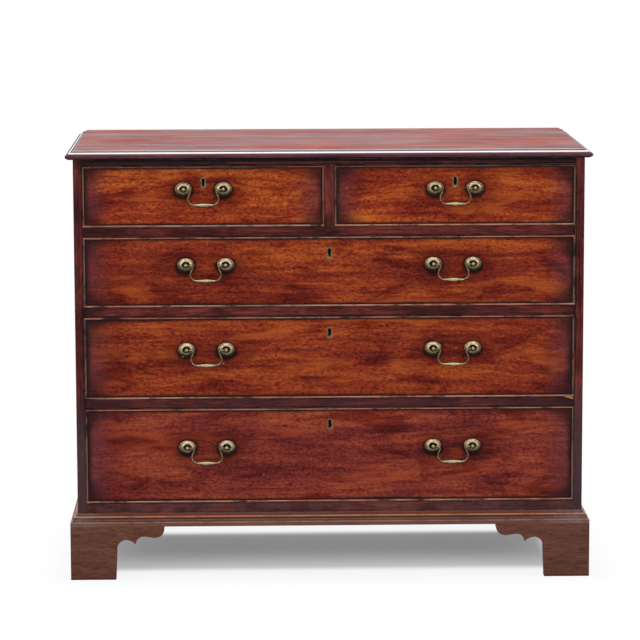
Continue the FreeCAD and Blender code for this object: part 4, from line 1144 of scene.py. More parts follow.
class Grown(Bench):
    """A Geometry Nodes tree with named inputs, grown on the points of a small mesh."""

    ARC_POINTS = 14
    EASE = 0.002
    SEAM = 1e-5
    SMOOTH = math.radians(38)

    def __init__(self, name: str) -> None:
        """Start a tree that takes and gives one geometry.

        Args:
            name: the tree's name.
        """
        tree = bpy.data.node_groups.new(name, "GeometryNodeTree")
        super().__init__(tree)
        tree.interface.new_socket("Points", in_out="INPUT", socket_type="NodeSocketGeometry")
        tree.interface.new_socket("Piece", in_out="OUTPUT", socket_type="NodeSocketGeometry")
        self.entry = self.add("NodeGroupInput")
        self.inputs: dict[str, tuple[str, object]] = {}

    def size(self, name: str, value: object, kind: str = "NodeSocketFloat") -> Socket:
        """Add a named input and give back its socket.

        Args:
            name, value: the input's name and what it is set to.
            kind: its socket type.

        Returns:
            Its socket inside the tree.
        """
        item = self.tree.interface.new_socket(name, in_out="INPUT", socket_type=kind)
        self.inputs[name] = (item.identifier, value)
        return self.entry.outputs[name]

    def switch(self, index: Socket, choices: Sequence[Feed], kind: str) -> Socket:
        """The choice that an index picks.

        Args:
            index: the number of the choice.
            choices: the values.
            kind: their data type.

        Returns:
            The chosen value.
        """
        node = self.add("GeometryNodeIndexSwitch", data_type=kind)
        while len(node.index_switch_items) < len(choices):
            node.index_switch_items.new()
        self.feed(node.inputs["Index"], index)
        for number, choice in enumerate(choices):
            self.feed(node.inputs[str(number)], choice)
        return node.outputs[0]

    def through(self, points: Sequence[tuple[Feed, Feed, Feed]], bends: Sequence[Feed]) -> Socket:
        """A curve through corners that are rounded by arcs.

        Args:
            points: the corners, each as three parts.
            bends: each corner's radius.

        Returns:
            The curve.
        """
        line = self.add("GeometryNodeMeshLine", {"Count": len(points)})
        curve = self.add("GeometryNodeMeshToCurve", {"Mesh": line.outputs[0]})
        index = self.add("GeometryNodeInputIndex").outputs[0]
        corners = [self.join(*point) for point in points]
        moved = self.add("GeometryNodeSetPosition", {"Geometry": curve.outputs[0],
                                                     "Position": self.switch(index, corners, "VECTOR")})
        feeds = {"Curve": moved.outputs[0], "Count": self.ARC_POINTS,
                 "Radius": self.switch(index, bends, "FLOAT")}
        return self.add("GeometryNodeFilletCurve", feeds, mode="POLY").outputs[0]

    def flowing(self, curve: Socket, rounds: int, fixed: float) -> Socket:
        """Let a curve's arcs run into each other, except where it is farther out than fixed.

        Args:
            curve: the curve.
            rounds: how often it is smoothed.
            fixed: how far out it starts to stay as it is.

        Returns:
            The smoothed curve.
        """
        place = self.add("GeometryNodeInputPosition").outputs[0]
        out = self.math("ABSOLUTE", self.split(place)[0])
        weight = self.fade(out, fixed, fixed - self.EASE)
        blur = self.add("GeometryNodeBlurAttribute", {"Iterations": rounds, "Weight": weight},
                        data_type="FLOAT_VECTOR")
        for socket in blur.inputs:
            if socket.enabled and socket.name == "Value":
                self.feed(socket, place)
        moved = [socket for socket in blur.outputs if socket.enabled][0]
        return self.add("GeometryNodeSetPosition", {"Geometry": curve, "Position": moved}).outputs[0]

    def turned(self, profile: Socket, rings: int, sides: int) -> Socket:
        """A solid turned on a lathe about the Y axis from a profile of radius (X) and depth (Y).

        Args:
            profile: the profile as a curve from the front to the back.
            rings: points along the profile.
            sides: points round the turning.

        Returns:
            The closed mesh, with the share of the way along the profile as its attribute 'way'.
        """
        grid = self.add("GeometryNodeMeshGrid", {"Size X": 1.0, "Size Y": 1.0, "Vertices X": sides + 1,
                                                 "Vertices Y": rings})
        place = self.split(self.add("GeometryNodeInputPosition").outputs[0])
        way = self.math("ADD", place[1], HALF)
        angle = self.product(self.math("ADD", place[0], HALF), math.tau)
        sample = self.add("GeometryNodeSampleCurve", {"Curves": profile, "Factor": way}, mode="FACTOR")
        reach, depth, _ = self.split(sample.outputs["Position"])
        spot = self.join(self.product(reach, self.math("COSINE", angle)), depth,
                         self.product(reach, self.math("SINE", angle)))
        kept = self.store(grid.outputs[0], "way", way)
        shaped = self.add("GeometryNodeSetPosition", {"Geometry": kept, "Position": spot})
        return self.add("GeometryNodeMergeByDistance", {"Geometry": shaped.outputs[0],
                                                        "Distance": self.SEAM}).outputs[0]

    def store(self, geometry: Socket, name: str, value: Feed) -> Socket:
        """Keep a number on each point under a name."""
        feeds = {"Geometry": geometry, "Name": name, "Value": value}
        node = self.add("GeometryNodeStoreNamedAttribute", feeds, data_type="FLOAT", domain="POINT")
        return node.outputs[0]

    def rubbed(self, geometry: Socket, rub: Feed) -> Socket:
        """Store how bright hands keep each point."""
        return self.store(geometry, "rub", rub)

    def luck(self, low: Feed, high: Feed, seed: Socket) -> Socket:
        """A random vector for each point."""
        feeds = {"Min": low, "Max": high, "Seed": seed}
        return self.add("FunctionNodeRandomValue", feeds, data_type="FLOAT_VECTOR").outputs[0]

    def share(self, name: str) -> Socket:
        """Read back a stored attribute."""
        node = self.add("GeometryNodeInputNamedAttribute", {"Name": name}, data_type="FLOAT")
        return node.outputs["Attribute"]

    def close(self, shape: Socket, turn: Feed = (0.0, 0.0, 0.0)) -> None:
        """Set the shape on every point, make it real and give it its material.

        Args:
            shape: one copy.
            turn: how each copy is turned.
        """
        material = self.size("Material", None, "NodeSocketMaterial")
        placed = self.add("GeometryNodeInstanceOnPoints", {"Points": self.entry.outputs["Points"],
                                                           "Instance": shape, "Rotation": turn})
        real = self.add("GeometryNodeRealizeInstances", {"Geometry": placed.outputs[0]})
        smooth = self.add("GeometryNodeSetShadeSmooth", {"Geometry": real.outputs[0]})
        done = self.add("GeometryNodeSetMaterial", {"Geometry": smooth.outputs[0], "Material": material})
        self.add("NodeGroupOutput", {0: done.outputs[0]})

    def grow(self, name: str, points: Sequence[Vector], material: bpy.types.Material) -> bpy.types.Object:
        """Build one piece of this tree.

        Args:
            name: the piece's name.
            points: where each copy stands.
            material: what all of it is made of.

        Returns:
            The piece as a plain mesh.
        """
        seeds = bmesh.new()
        for point in points:
            seeds.verts.new(point)
        piece = MeshWork.solid(seeds, name, [])
        modifier = piece.modifiers.new("grown", "NODES")
        modifier.node_group = self.tree
        for identifier, value in self.inputs.values():
            modifier[identifier] = material if value is None else value
        MeshWork.applied(piece)
        work = bmesh.new()
        work.from_mesh(piece.data)
        bmesh.ops.recalc_face_normals(work, faces=work.faces)
        work.to_mesh(piece.data)
        work.free()
        piece.data.set_sharp_from_angle(angle=self.SMOOTH)
        return piece


@dataclass(frozen=True)
class BailShape:
    """A swan-neck bail: two necks that lean out to a wide lower bend, and a swelling grip.

    The wire's ends are pins that reach into the posts' heads by the share sunk. The grip swells between
    two levels, which are shares of the drop. Rub is how bright hands keep the wire, its low part, its
    grip, and each metre towards the front.
    """

    post_half: float = 0.0405
    drop: float = 0.0317
    neck_inset: float = 0.026
    neck_bend: float = 0.0046
    half_width: float = 0.0313
    lower_bend: float = 0.0128
    wire: float = 0.0018
    pin: float = 0.0014
    head: float = 0.005
    sunk: float = 0.4
    clear: float = 0.0005
    taper: float = 0.0004
    fixed: float = 0.001
    grip: float = 0.0044
    grip_half: float = 0.0205
    grip_levels: tuple[float, float] = (-0.8, -0.97)
    grip_power: float = 0.8
    step: float = 0.0006
    flow: int = 22
    sides: int = 18
    rub: tuple[float, float, float, float] = (0.40, 0.04, 0.12, -55.0)

    def neck_corners(self) -> tuple[float, float]:
        """Where the neck's straight line, drawn on, meets the pivot line and the grip's line.

        Returns:
            Both distances from the middle of the bail.
        """
        lower = Vector((self.half_width - self.lower_bend, self.lower_bend))
        upper = Vector((self.neck_inset + self.neck_bend, self.drop - self.neck_bend))
        way = upper - lower
        lean = math.asin((self.lower_bend + self.neck_bend) / way.length) - math.atan2(way.x, way.y)
        touch = lower + self.lower_bend * Vector((math.cos(lean), math.sin(lean)))
        slope = math.tan(lean)
        return touch.x - (self.drop - touch.y) * slope, touch.x + touch.y * slope

    def tree(self) -> Grown:
        """The Geometry Nodes tree that sweeps the wire along the bail's line.

        Returns:
            The tree.
        """
        grown = Grown("swan_neck_bail")
        upper, lower = self.neck_corners()
        end = grown.size("Pin End", self.post_half - self.head * self.sunk)
        drop = grown.size("Drop", self.drop)
        top = grown.size("Upper Corner", upper)
        foot = grown.size("Lower Corner", lower)
        bends = [grown.size("Neck Bend", self.neck_bend), grown.size("Lower Bend", self.lower_bend)]
        wire = grown.size("Wire Radius", self.wire)
        pin = grown.size("Pin Radius", self.pin)
        grip = grown.size("Grip Radius", self.grip)
        grip_half = grown.size("Grip Half Length", self.grip_half)
        shoulder = grown.size("Wire Reach", self.post_half - self.head - self.clear)
        low_line = grown.product(drop, -1.0)
        right = [(foot, 0.0, low_line), (top, 0.0, 0.0), (end, 0.0, 0.0)]
        corners = [(grown.product(x, -1.0), y, z) for x, y, z in reversed(right)] + right
        line = grown.through(corners, [0.0, bends[0], bends[1], bends[1], bends[0], 0.0])
        even = grown.add("GeometryNodeResampleCurve", {"Curve": line, "Length": self.step}, mode="LENGTH")
        even = grown.flowing(even.outputs[0], self.flow, self.post_half - self.head - self.fixed)
        x, _, z = grown.split(grown.add("GeometryNodeInputPosition").outputs[0])
        away = grown.math("ABSOLUTE", x)
        low = grown.fade(z, *(grown.product(drop, level) for level in self.grip_levels))
        share = grown.less(1.0, grown.math("DIVIDE", away, grip_half))
        swell = grown.math("POWER", grown.math("MAXIMUM", share, 0.0), self.grip_power)
        gain = grown.product(low, swell, grown.less(grip, wire))
        thin = grown.fade(away, grown.less(shoulder, self.taper), shoulder)
        radius = grown.less(grown.total(wire, gain), grown.product(thin, grown.less(wire, pin)))
        sized = grown.add("GeometryNodeSetCurveRadius", {"Curve": even, "Radius": radius})
        ring = grown.add("GeometryNodeCurvePrimitiveCircle", {"Resolution": self.sides, "Radius": 1.0})
        sweep = grown.add("GeometryNodeCurveToMesh", {"Curve": sized.outputs[0], "Fill Caps": True,
                                                      "Profile Curve": ring.outputs[0]})
        if "Scale" in sweep.inputs:
            grown.feed(sweep.inputs["Scale"], grown.add("GeometryNodeInputRadius").outputs[0])
        depth = grown.split(grown.add("GeometryNodeInputPosition").outputs[0])[1]
        everywhere, on_low, on_grip, per_metre = self.rub
        rub = grown.total(everywhere, grown.product(low, on_low), grown.product(swell, low, on_grip),
                          grown.product(depth, per_metre))
        grown.close(grown.rubbed(sweep.outputs[0], rub))
        return grown


@dataclass(frozen=True)
class RoseShape:
    """An oval rose: a thin rim, a swelling ring and a hollow for the post.

    The profile's corners are shares of the radius and of the rise, and its bends are shares of the rise.
    Ring and rim say where along the profile hands rub it, as shares of its length, and how much.
    """

    half_width: float = 0.0172
    half_height: float = 0.0138
    rise: float = 0.0054
    face: float = 0.0135
    profile: tuple[tuple[float, float], ...] = (
        (0.0, 0.42), (0.26, 0.44), (0.40, 0.86), (0.53, 1.0), (0.72, 0.80), (0.88, 0.44), (0.955, 0.28),
        (1.0, 0.22), (1.0, 0.0), (0.0, 0.0))
    bends: tuple[float, ...] = (0.0, 0.06, 0.12, 0.14, 0.3, 0.10, 0.04, 0.02, 0.0, 0.0)
    rings: int = 72
    sides: int = 56
    ring_way: float = 0.33
    ring_levels: tuple[float, float] = (0.80, 0.98)
    ring_rub: float = 0.56
    rim_start: tuple[float, float] = (0.44, 0.49)
    rim_end: tuple[float, float] = (0.56, 0.52)
    rim_rub: float = 0.35
    rub: float = 0.13

    def tree(self) -> Grown:
        """The Geometry Nodes tree of one rose, grown at each post's pivot.

        Returns:
            The tree.
        """
        grown = Grown("oval_rose")
        wide = grown.size("Half Width", self.half_width)
        tall = grown.size("Half Height", self.half_height)
        rise = grown.size("Rise", self.rise)
        face = grown.size("Pivot To Face", self.face)
        profile = grown.through([(share, grown.product(rise, -level), 0.0) for share, level in self.profile],
                                [bend * self.rise for bend in self.bends])
        shell = grown.turned(profile, self.rings, self.sides)
        way = grown.share("way")
        ring = grown.less(1.0, grown.apart(way, self.ring_way))
        rim = grown.product(grown.fade(way, *self.rim_start), grown.fade(way, *self.rim_end), self.rim_rub)
        rub = grown.total(grown.product(grown.fade(ring, *self.ring_levels), self.ring_rub), rim, self.rub)
        shaped = grown.add("GeometryNodeTransform", {"Geometry": grown.rubbed(shell, rub),
                                                     "Translation": grown.join(0.0, face, 0.0),
                                                     "Scale": grown.join(wide, 1.0, tall)})
        grown.close(shaped.outputs[0])
        return grown


@dataclass(frozen=True)
class PostShape:
    """A handle's post: ball head, neck, collar, shank through the front and a riveted end.

    The ball's corners stand at even steps of so many degrees from its front, and the neck leaves it at a
    share of its radius. The bends are those of the corners behind the ball.
    """

    head: float = 0.005
    neck: float = 0.0027
    collar: float = 0.0043
    collar_front: float = 0.0092
    collar_back: float = 0.0110
    shank: float = 0.0022
    length: float = 0.0395
    ball_end: int = 140
    ball_step: int = 12
    neck_share: float = 0.95
    bends: tuple[float, ...] = (0.0006, 0.0004, 0.0004, 0.0002, 0.0, 0.0007, 0.0)
    rings: int = 110
    sides: int = 28
    rub: float = 0.1
    head_rub: float = 0.50
    head_levels: tuple[float, float] = (0.20, 0.02)

    def tree(self) -> Grown:
        """The Geometry Nodes tree of one post, grown at its pivot.

        Returns:
            The tree.
        """
        grown = Grown("handle_post")
        head = grown.size("Head Radius", self.head)
        neck = grown.size("Neck Radius", self.neck)
        collar = grown.size("Collar Radius", self.collar)
        shank = grown.size("Shank Radius", self.shank)
        front = grown.size("Collar Front", self.collar_front)
        back = grown.size("Collar Back", self.collar_back)
        end = grown.size("Length", self.length)
        angles = [math.radians(step) for step in range(0, self.ball_end, self.ball_step)]
        ball = [(grown.product(head, math.sin(angle)), grown.product(head, -math.cos(angle)), 0.0)
                for angle in angles]
        body = [(neck, grown.product(head, self.neck_share), 0.0), (neck, front, 0.0), (collar, front, 0.0),
                (collar, back, 0.0), (shank, back, 0.0), (shank, end, 0.0), (0.0, end, 0.0)]
        bends = [0.0] * len(ball) + list(self.bends)
        turning = grown.turned(grown.through(ball + body, bends), self.rings, self.sides)
        on_head = grown.fade(grown.share("way"), *self.head_levels)
        grown.close(grown.rubbed(turning, grown.total(self.rub, grown.product(on_head, self.head_rub))))
        return grown


@dataclass(frozen=True)
class NutShape:
    """A square nut with filed corners behind a drawer front, each turned a little by hand."""

    width: float = 0.011
    thickness: float = 0.004
    behind: float = 0.0335
    turn: float = math.radians(7)
    corner: float = 0.0011
    corner_points: int = 4
    rub: float = 0.3
    seed: int = 4

    def tree(self) -> Grown:
        """The Geometry Nodes tree of one nut, grown at its post's pivot.

        Returns:
            The tree.
        """
        grown = Grown("square_nut")
        half = grown.math("DIVIDE", grown.size("Width", self.width), 2.0)
        thick = grown.size("Thickness", self.thickness)
        behind = grown.size("Pivot To Nut", self.behind)
        turn = grown.size("Turn", self.turn)
        seed = grown.size("Seed", self.seed, "NodeSocketInt")
        flip = grown.product(half, -1.0)
        corners = [(flip, flip), (half, flip), (half, half), (flip, half)]
        square = grown.through([(x, 0.0, z) for x, z in corners], [0.0] * len(corners))
        ring = grown.add("GeometryNodeSetSplineCyclic", {"Geometry": square, "Cyclic": True})
        feeds = {"Curve": ring.outputs[0], "Count": self.corner_points, "Radius": self.corner}
        filed = grown.add("GeometryNodeFilletCurve", feeds, mode="POLY")
        stood = grown.add("GeometryNodeTransform", {"Geometry": filed.outputs[0],
                                                    "Rotation": (math.pi / 2, 0.0, 0.0)})
        plate = grown.add("GeometryNodeFillCurve", {"Curve": stood.outputs[0]})
        block = grown.add("GeometryNodeExtrudeMesh", {"Mesh": plate.outputs[0], "Offset Scale": thick,
                                                      "Individual": False})
        closed = grown.add("GeometryNodeJoinGeometry")
        for side in (block, grown.add("GeometryNodeFlipFaces", {0: plate.outputs[0]})):
            grown.feed(closed.inputs[0], side.outputs[0])
        merged = grown.add("GeometryNodeMergeByDistance", {"Geometry": closed.outputs[0], "Distance": WELD})
        upright = grown.add("GeometryNodeTransform", {
            "Geometry": grown.rubbed(merged.outputs[0], self.rub), "Rotation": (-math.pi / 2, 0.0, 0.0),
            "Translation": grown.join(0.0, behind, 0.0)})
        luck = grown.luck((0.0, -1.0, 0.0), (0.0, 1.0, 0.0), seed)
        spin = grown.add("ShaderNodeVectorMath", {0: luck}, operation="SCALE")
        grown.feed(spin.inputs["Scale"], turn)
        grown.close(upright.outputs[0], spin.outputs[0])
        return grown


@dataclass(frozen=True)
class NailShape:
    """A clout nail, seen from behind the board that it is driven into.

    The crown's shoulder stands at shares of the head's radius and of the dome, the shank narrows from a
    share of its length, and the head's edge is rounded by a share of its height.
    """

    name: str
    head: float
    rise: float
    dome: float
    shank: float
    length: float
    seed: int = 9
    shoulder: tuple[float, float] = (0.55, 0.8)
    shoulder_bend: float = 0.001
    edge: float = 0.3
    point: float = 0.9
    rings: int = 40
    sides: int = 24
    rub: float = 0.34

    def tree(self) -> Grown:
        """The Geometry Nodes tree of one nail, whose head is towards +Y from its point.

        Returns:
            The tree.
        """
        grown = Grown(self.name)
        head = grown.size("Head Radius", self.head)
        rise = grown.size("Head Height", self.rise)
        shank = grown.size("Shank Radius", self.shank)
        length = grown.size("Length", self.length)
        seed = grown.size("Seed", self.seed, "NodeSocketInt")
        crown = grown.total(rise, self.dome)
        out, up = self.shoulder
        steps = [(0.0, crown, 0.0), (grown.product(head, out), grown.total(rise, self.dome * up), 0.0),
                 (head, rise, 0.0), (head, 0.0, 0.0), (shank, 0.0, 0.0),
                 (shank, grown.product(length, -self.point), 0.0), (0.0, grown.product(length, -1.0), 0.0)]
        bends = [0.0, self.shoulder_bend, self.rise * self.edge, 0.0, 0.0, 0.0, 0.0]
        shape = grown.turned(grown.through(steps, bends), self.rings, self.sides)
        luck = grown.luck((0.0, 0.0, 0.0), (0.0, math.tau, 0.0), seed)
        grown.close(grown.rubbed(shape, self.rub), luck)
        return grown


# ---- sub-assemblies


def settle(piece: bpy.types.Object, body: str, slot: Slot, *nodes: str) -> bpy.types.Object:
    """Hang a finished piece on its body in place of the nodes that it stands for.

    Args:
        piece: the finished piece.
        body: the body that it moves with.
        slot: the record's slot of its finish; not used.
        nodes: the nodes that it replaces.

    Returns:
        The piece.
    """
    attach(piece, body)
    if nodes:
        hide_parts(*nodes)
    log.info("%s rides on %s, %d faces", piece.name, body, len(piece.data.polygons))
    return piece


def dress(node: str, material: bpy.types.Material) -> None:
    """Give a frame node that keeps its own mesh its finish.

    Args:
        node: the node's name.
        material: its finish.
    """
    mesh = frame["nodes"][node].data
    mesh.materials.clear()
    mesh.materials.append(material)
    log.info("%s is dressed in %s", node, material.name)


def outward(node: str, least: float = 0.05) -> Callable[[bmesh.types.BMEdge], bool]:
    """Choose the long edges on the front of a node.

    Args:
        node: the node.
        least: edges no longer than this are left sharp.

    Returns:
        The choice for one edge.
    """
    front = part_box(node)[0].y
    return lambda edge: (edge.calc_length() > least
                         and all(abs(vertex.co.y - front) < SLACK for vertex in edge.verts))


@dataclass
class Carcass:
    """Sides, rails, divider, inner boards and back."""

    wood: CaseTimber
    pine: bpy.types.Material
    arris: float = 0.0006
    rails: tuple[str, ...] = ("top_rails", "drawer_rail_upper", "drawer_rail_middle", "drawer_rail_lower",
                              "bottom_rail", "side_left", "side_right", "centre_divider")
    boards: tuple[str, ...] = ("dust_boards", "bottom_board", "foot_blocks", "drawer_stops")
    chip: tuple[float, float, float] = (0.024, 0.0030, 0.0065)
    chip_over: float = 0.0005

    def build(self) -> None:
        """Dress every board, soften the ones that show, and break the chip out of its rail."""
        material = self.wood.material()
        bare = Timber("torn_wood", ((0.35, tone(190, 118, 62)), (0.62, tone(236, 180, 116))), seed=5,
                      roughness=(0.7, 0.9)).material()
        upright = replace(self.wood, name="divider_wood", opening_half=-1.0).material()
        for node in self.rails:
            work = MeshWork.copy_of(node)
            MeshWork.soften(work, self.arris, outward(node))
            wood = upright if node == "centre_divider" else material
            piece = MeshWork.solid(work, node + "_worn", [wood])
            if node == "drawer_rail_lower":
                self.break_chip(piece, bare)
            settle(piece, "carcass", Slot.CASE, node)
        for node in self.boards:
            dress(node, self.pine)
        self.dress_back()

    def dress_back(self) -> None:
        """Give each back board its own figure, from the heights of the joints between them."""
        work = MeshWork.copy_of("back_boards")
        boxes = [MeshWork.box_of([vertex.co for vertex in island]) for island in MeshWork.islands(work)]
        work.free()
        lows, highs = sorted(low.z for low, _ in boxes)[1:], sorted(high.z for _, high in boxes)[:-1]
        joints = tuple((low + high) / 2 for low, high in zip(lows, highs))
        finish = BoardedTimber("back_pine", ((0.36, tone(116, 86, 58)), (0.64, tone(160, 124, 84))),
                               roughness=(0.7, 0.88), seed=11, joints=joints)
        dress("back_boards", finish.material())

    def break_chip(self, rail: bpy.types.Object, bare: bpy.types.Material) -> None:
        """Split a long splinter off the upper arris of a rail at its right end.

        Args:
            rail: the rail.
            bare: the torn wood inside.
        """
        length, depth, height = self.chip
        front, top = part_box("drawer_rail_lower")[0].y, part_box("drawer_rail_lower")[1].z
        over = self.chip_over
        end = self.wood.opening_half + over
        work = bmesh.new()
        before = -2 * over
        ring = [(end - length, 0.0, -over), (end, -height, depth), (end, 0.0, depth), (end, -height, before),
                (end, 0.0, before)]
        spots = [work.verts.new((x, front + y, top + z + (over if z == 0.0 else 0.0))) for x, z, y in ring]
        for corner in ((0, 1, 3), (0, 2, 1), (0, 4, 2), (0, 3, 4), (1, 2, 4, 3)):
            work.faces.new([spots[index] for index in corner])
        bmesh.ops.recalc_face_normals(work, faces=work.faces)
        cutter = MeshWork.solid(work, "splinter", [bare])
        cut = rail.modifiers.new("chip", "BOOLEAN")
        cut.object = cutter
        cut.operation = "DIFFERENCE"
        cut.material_mode = "TRANSFER"
        MeshWork.applied(rail)
        bpy.data.objects.remove(cutter)


@dataclass
class Plinth:
    """The moulded frame under the carcass and the bracket feet."""

    moulding: CaseTimber
    foot: CaseTimber
    arris: float = 0.0007
    least: float = 0.004

    def build(self) -> None:
        """Soften and dress the moulding and the feet."""
        for node, finish, slot in (("plinth_mouldings", self.moulding, Slot.MOULDING),
                                   ("bracket_feet", self.foot, Slot.FOOT)):
            work = MeshWork.copy_of(node)
            MeshWork.soften(work, self.arris, lambda edge: edge.calc_length() > self.least)
            settle(MeshWork.solid(work, node + "_worn", [finish.material()]), "carcass", slot, node)


@dataclass
class TopBoard:
    """The moulded top."""

    flat: TopTimber
    edge: CaseTimber
    arris: float = 0.0006
    least: float = 0.1

    def build(self) -> None:
        """Soften the board, and dress its flat and its moulded edge."""
        work = MeshWork.copy_of("top_board")
        MeshWork.soften(work, self.arris, lambda edge: edge.calc_length() > self.least)
        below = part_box("top_board")[1].z - self.arris - SLACK
        for face in work.faces:
            face.material_index = int(face.calc_center_median().z < below)
        finishes = [self.flat.material(), self.edge.material()]
        settle(MeshWork.solid(work, "top_board_worn", finishes), "carcass", Slot.TOP, "top_board")


@dataclass
class Nails:
    """The clout nails that hold the back boards."""

    iron: bpy.types.Material
    head_height: float = 0.0008

    def build(self) -> None:
        """One nail for each nail of the frame."""
        work = MeshWork.copy_of("back_nails")
        spots = []
        for island in MeshWork.islands(work):
            low, high = MeshWork.box_of([vertex.co for vertex in island])
            spots.append(Vector(((low.x + high.x) / 2, high.y - self.head_height, (low.z + high.z) / 2)))
        work.free()
        shape = NailShape("clout_nail", head=0.0035, rise=0.0004, dome=0.0004, shank=0.0013, length=0.029,
                          seed=3)
        piece = shape.tree().grow("clout_nails", sorted(spots, key=tuple), self.iron)
        settle(piece, "carcass", Slot.IRON, "back_nails")


@dataclass
class Handle:
    """One handle: where its pivot line is, and what it hangs from."""

    drawer: str
    bail: str
    node: str
    pivot: Vector


class Row(Enum):
    """The shades of the boards that the fronts of each kind of drawer were cut from."""

    SHORT = ((0.32, tone(96, 22, 12)), (0.50, tone(146, 52, 22)), (0.68, tone(188, 98, 34)))
    LONG = ((0.32, tone(84, 21, 14)), (0.50, tone(130, 44, 22)), (0.68, tone(170, 80, 29)))
    LOWER = ((0.32, tone(82, 24, 24)), (0.50, tone(123, 45, 35)), (0.68, tone(158, 74, 42)))

    @classmethod
    def of(cls, name: str) -> "Row":
        """The kind that a drawer belongs to."""
        if name.startswith("drawer_top"):
            return cls.SHORT
        return cls.LOWER if name == "drawer_lower" else cls.LONG

    def flare(self) -> Colour:
        """The colour of the board's lightest flames."""
        return tone(158, 68, 30) if self is Row.LOWER else tone(170, 82, 29)

    def bead_rub(self) -> Colour:
        """The colour of the upper bead where it is rubbed; the short drawers' are darker."""
        return tone(100, 76, 68) if self is Row.SHORT else tone(164, 108, 86)


@dataclass
class Drawer:
    """A drawer: front, cockbeads, lining, lock and the fittings of its handles."""

    name: str
    handles: list[Handle]
    number: int
    brass: bpy.types.Material
    iron: bpy.types.Material
    oak: bpy.types.Material
    pine: bpy.types.Material
    trees: dict[str, Grown]
    post_half: float = 0.0405
    front_seed: float = 2.7
    bead_seed: float = 1.7
    lock_arris: float = 0.00025
    lock_least: float = 0.0005
    thread_depth: float = 0.0002
    hole: float = 0.0034
    slot_half: float = 0.0024
    slot_foot: float = 0.0015
    hole_rub: float = 0.05
    thread_rub: float = 0.54

    def build(self) -> None:
        """Build and dress every piece of the drawer."""
        self.dress_front()
        self.dress_beads()
        dress(self.name + "_lining", self.oak)
        dress(self.name + "_bottom", self.pine)
        dress(self.name + "_bolt", self.iron)
        self.build_fittings()
        self.build_lock()

    def dress_front(self) -> None:
        """The front keeps its mesh and gets its own stretch of figured wood."""
        low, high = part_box(self.name + "_front")
        row = Row.of(self.name)
        finish = DrawerTimber(self.name + "_wood", row.value, seed=self.number * self.front_seed + 1,
                              ribbon=(0.12, 0.0070), pore=(0.0068, 0.0032), pore_depth=0.32,
                              pore_tint=tone(136, 84, 78), shares=(0.60, 0.46, 0.50), specular=0.08,
                              flaring=replace(DrawerTimber.flaring, tint=row.flare()),
                              low=(low.x, low.z), high=(high.x, high.z),
                              handles=tuple(handle.pivot.x for handle in self.handles),
                              level=self.handles[0].pivot.z, post_half=self.post_half)
        dress(self.name + "_front", finish.material())

    def dress_beads(self) -> None:
        """The beads keep their mesh and get their rubbed noses."""
        low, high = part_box(self.name + "_cockbeads")
        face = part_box(self.name + "_front")[0].y
        shades = ((0.35, tone(30, 20, 18)), (0.65, tone(62, 36, 28)))
        finish = BeadTimber(self.name + "_bead_wood", shades, root=face, nose=face - low.y, low=low.z,
                            high=high.z, seed=self.number * self.bead_seed,
                            head_rub=Row.of(self.name).bead_rub())
        dress(self.name + "_cockbeads", finish.material())

    def posts(self) -> list[Vector]:
        """The pivot point in each post of the drawer's handles."""
        return [handle.pivot + Vector((side * self.post_half, 0, 0)) for handle in self.handles
                for side in (-1, 1)]

    def build_fittings(self) -> None:
        """Roses, posts and nuts, one piece of each kind for the whole drawer."""
        for kind, tree in self.trees.items():
            piece = tree.grow(f"{self.name}_{kind}", self.posts(), self.brass)
            settle(piece, self.name, Slot.BRASS, self.name + "_fittings")

    def build_lock(self) -> None:
        """Keyhole thread, case and screws with softened edges."""
        node = self.name + "_lock"
        work = MeshWork.copy_of(node)
        MeshWork.soften(work, self.lock_arris, lambda edge: edge.calc_length() > self.lock_least, 1)
        self.rub_thread(work)
        settle(MeshWork.solid(work, node + "_plate", [self.brass]), self.name, Slot.BRASS, node)

    def rub_thread(self, work: bmesh.types.BMesh) -> None:
        """Mark the keyhole thread's outline as rubbed, and its hole and the lock's case as dark.

        Args:
            work: the lock's mesh.
        """
        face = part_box(self.name + "_front")[0].y
        rub = work.verts.layers.float.new("rub")
        outline = [vertex for vertex in work.verts if vertex.co.y < face + self.thread_depth]
        low, high = MeshWork.box_of([vertex.co for vertex in outline])
        middle = Vector(((low.x + high.x) / 2, 0, high.z - (high.x - low.x) / 2))
        for vertex in outline:
            away = (Vector((vertex.co.x, 0, vertex.co.z)) - middle).length
            in_slot = (abs(vertex.co.x - middle.x) < self.slot_half
                       and low.z + self.slot_foot < vertex.co.z < middle.z)
            vertex[rub] = self.hole_rub if away < self.hole or in_slot else self.thread_rub


@dataclass
class Bails:
    """The swinging bails."""

    handles: list[Handle]
    brass: bpy.types.Material
    tree: Grown

    def build(self) -> None:
        """One bail on each bail body."""
        for handle in self.handles:
            piece = self.tree.grow(handle.node + "_cast", [handle.pivot], self.brass)
            settle(piece, handle.bail, Slot.BRASS, handle.node)


# ---- studio


@dataclass(frozen=True)
class Softbox:
    """A soft lamp: where it stands, how large it is and how bright."""

    name: str
    place: tuple[float, float, float]
    aim: tuple[float, float, float]
    size: tuple[float, float]
    power: float

    def build(self) -> None:
        """Put the lamp in the scene."""
        lamp = bpy.data.lights.new(self.name, "AREA")
        lamp.shape = "RECTANGLE"
        lamp.size, lamp.size_y = self.size
        lamp.energy = self.power
        stand = bpy.data.objects.new(self.name, lamp)
        stand.visible_camera = False
        stand.location = self.place
        way = Vector(self.aim) - Vector(self.place)
        stand.rotation_euler = way.to_track_quat("-Z", "Y").to_euler()
        bpy.context.scene.collection.objects.link(stand)


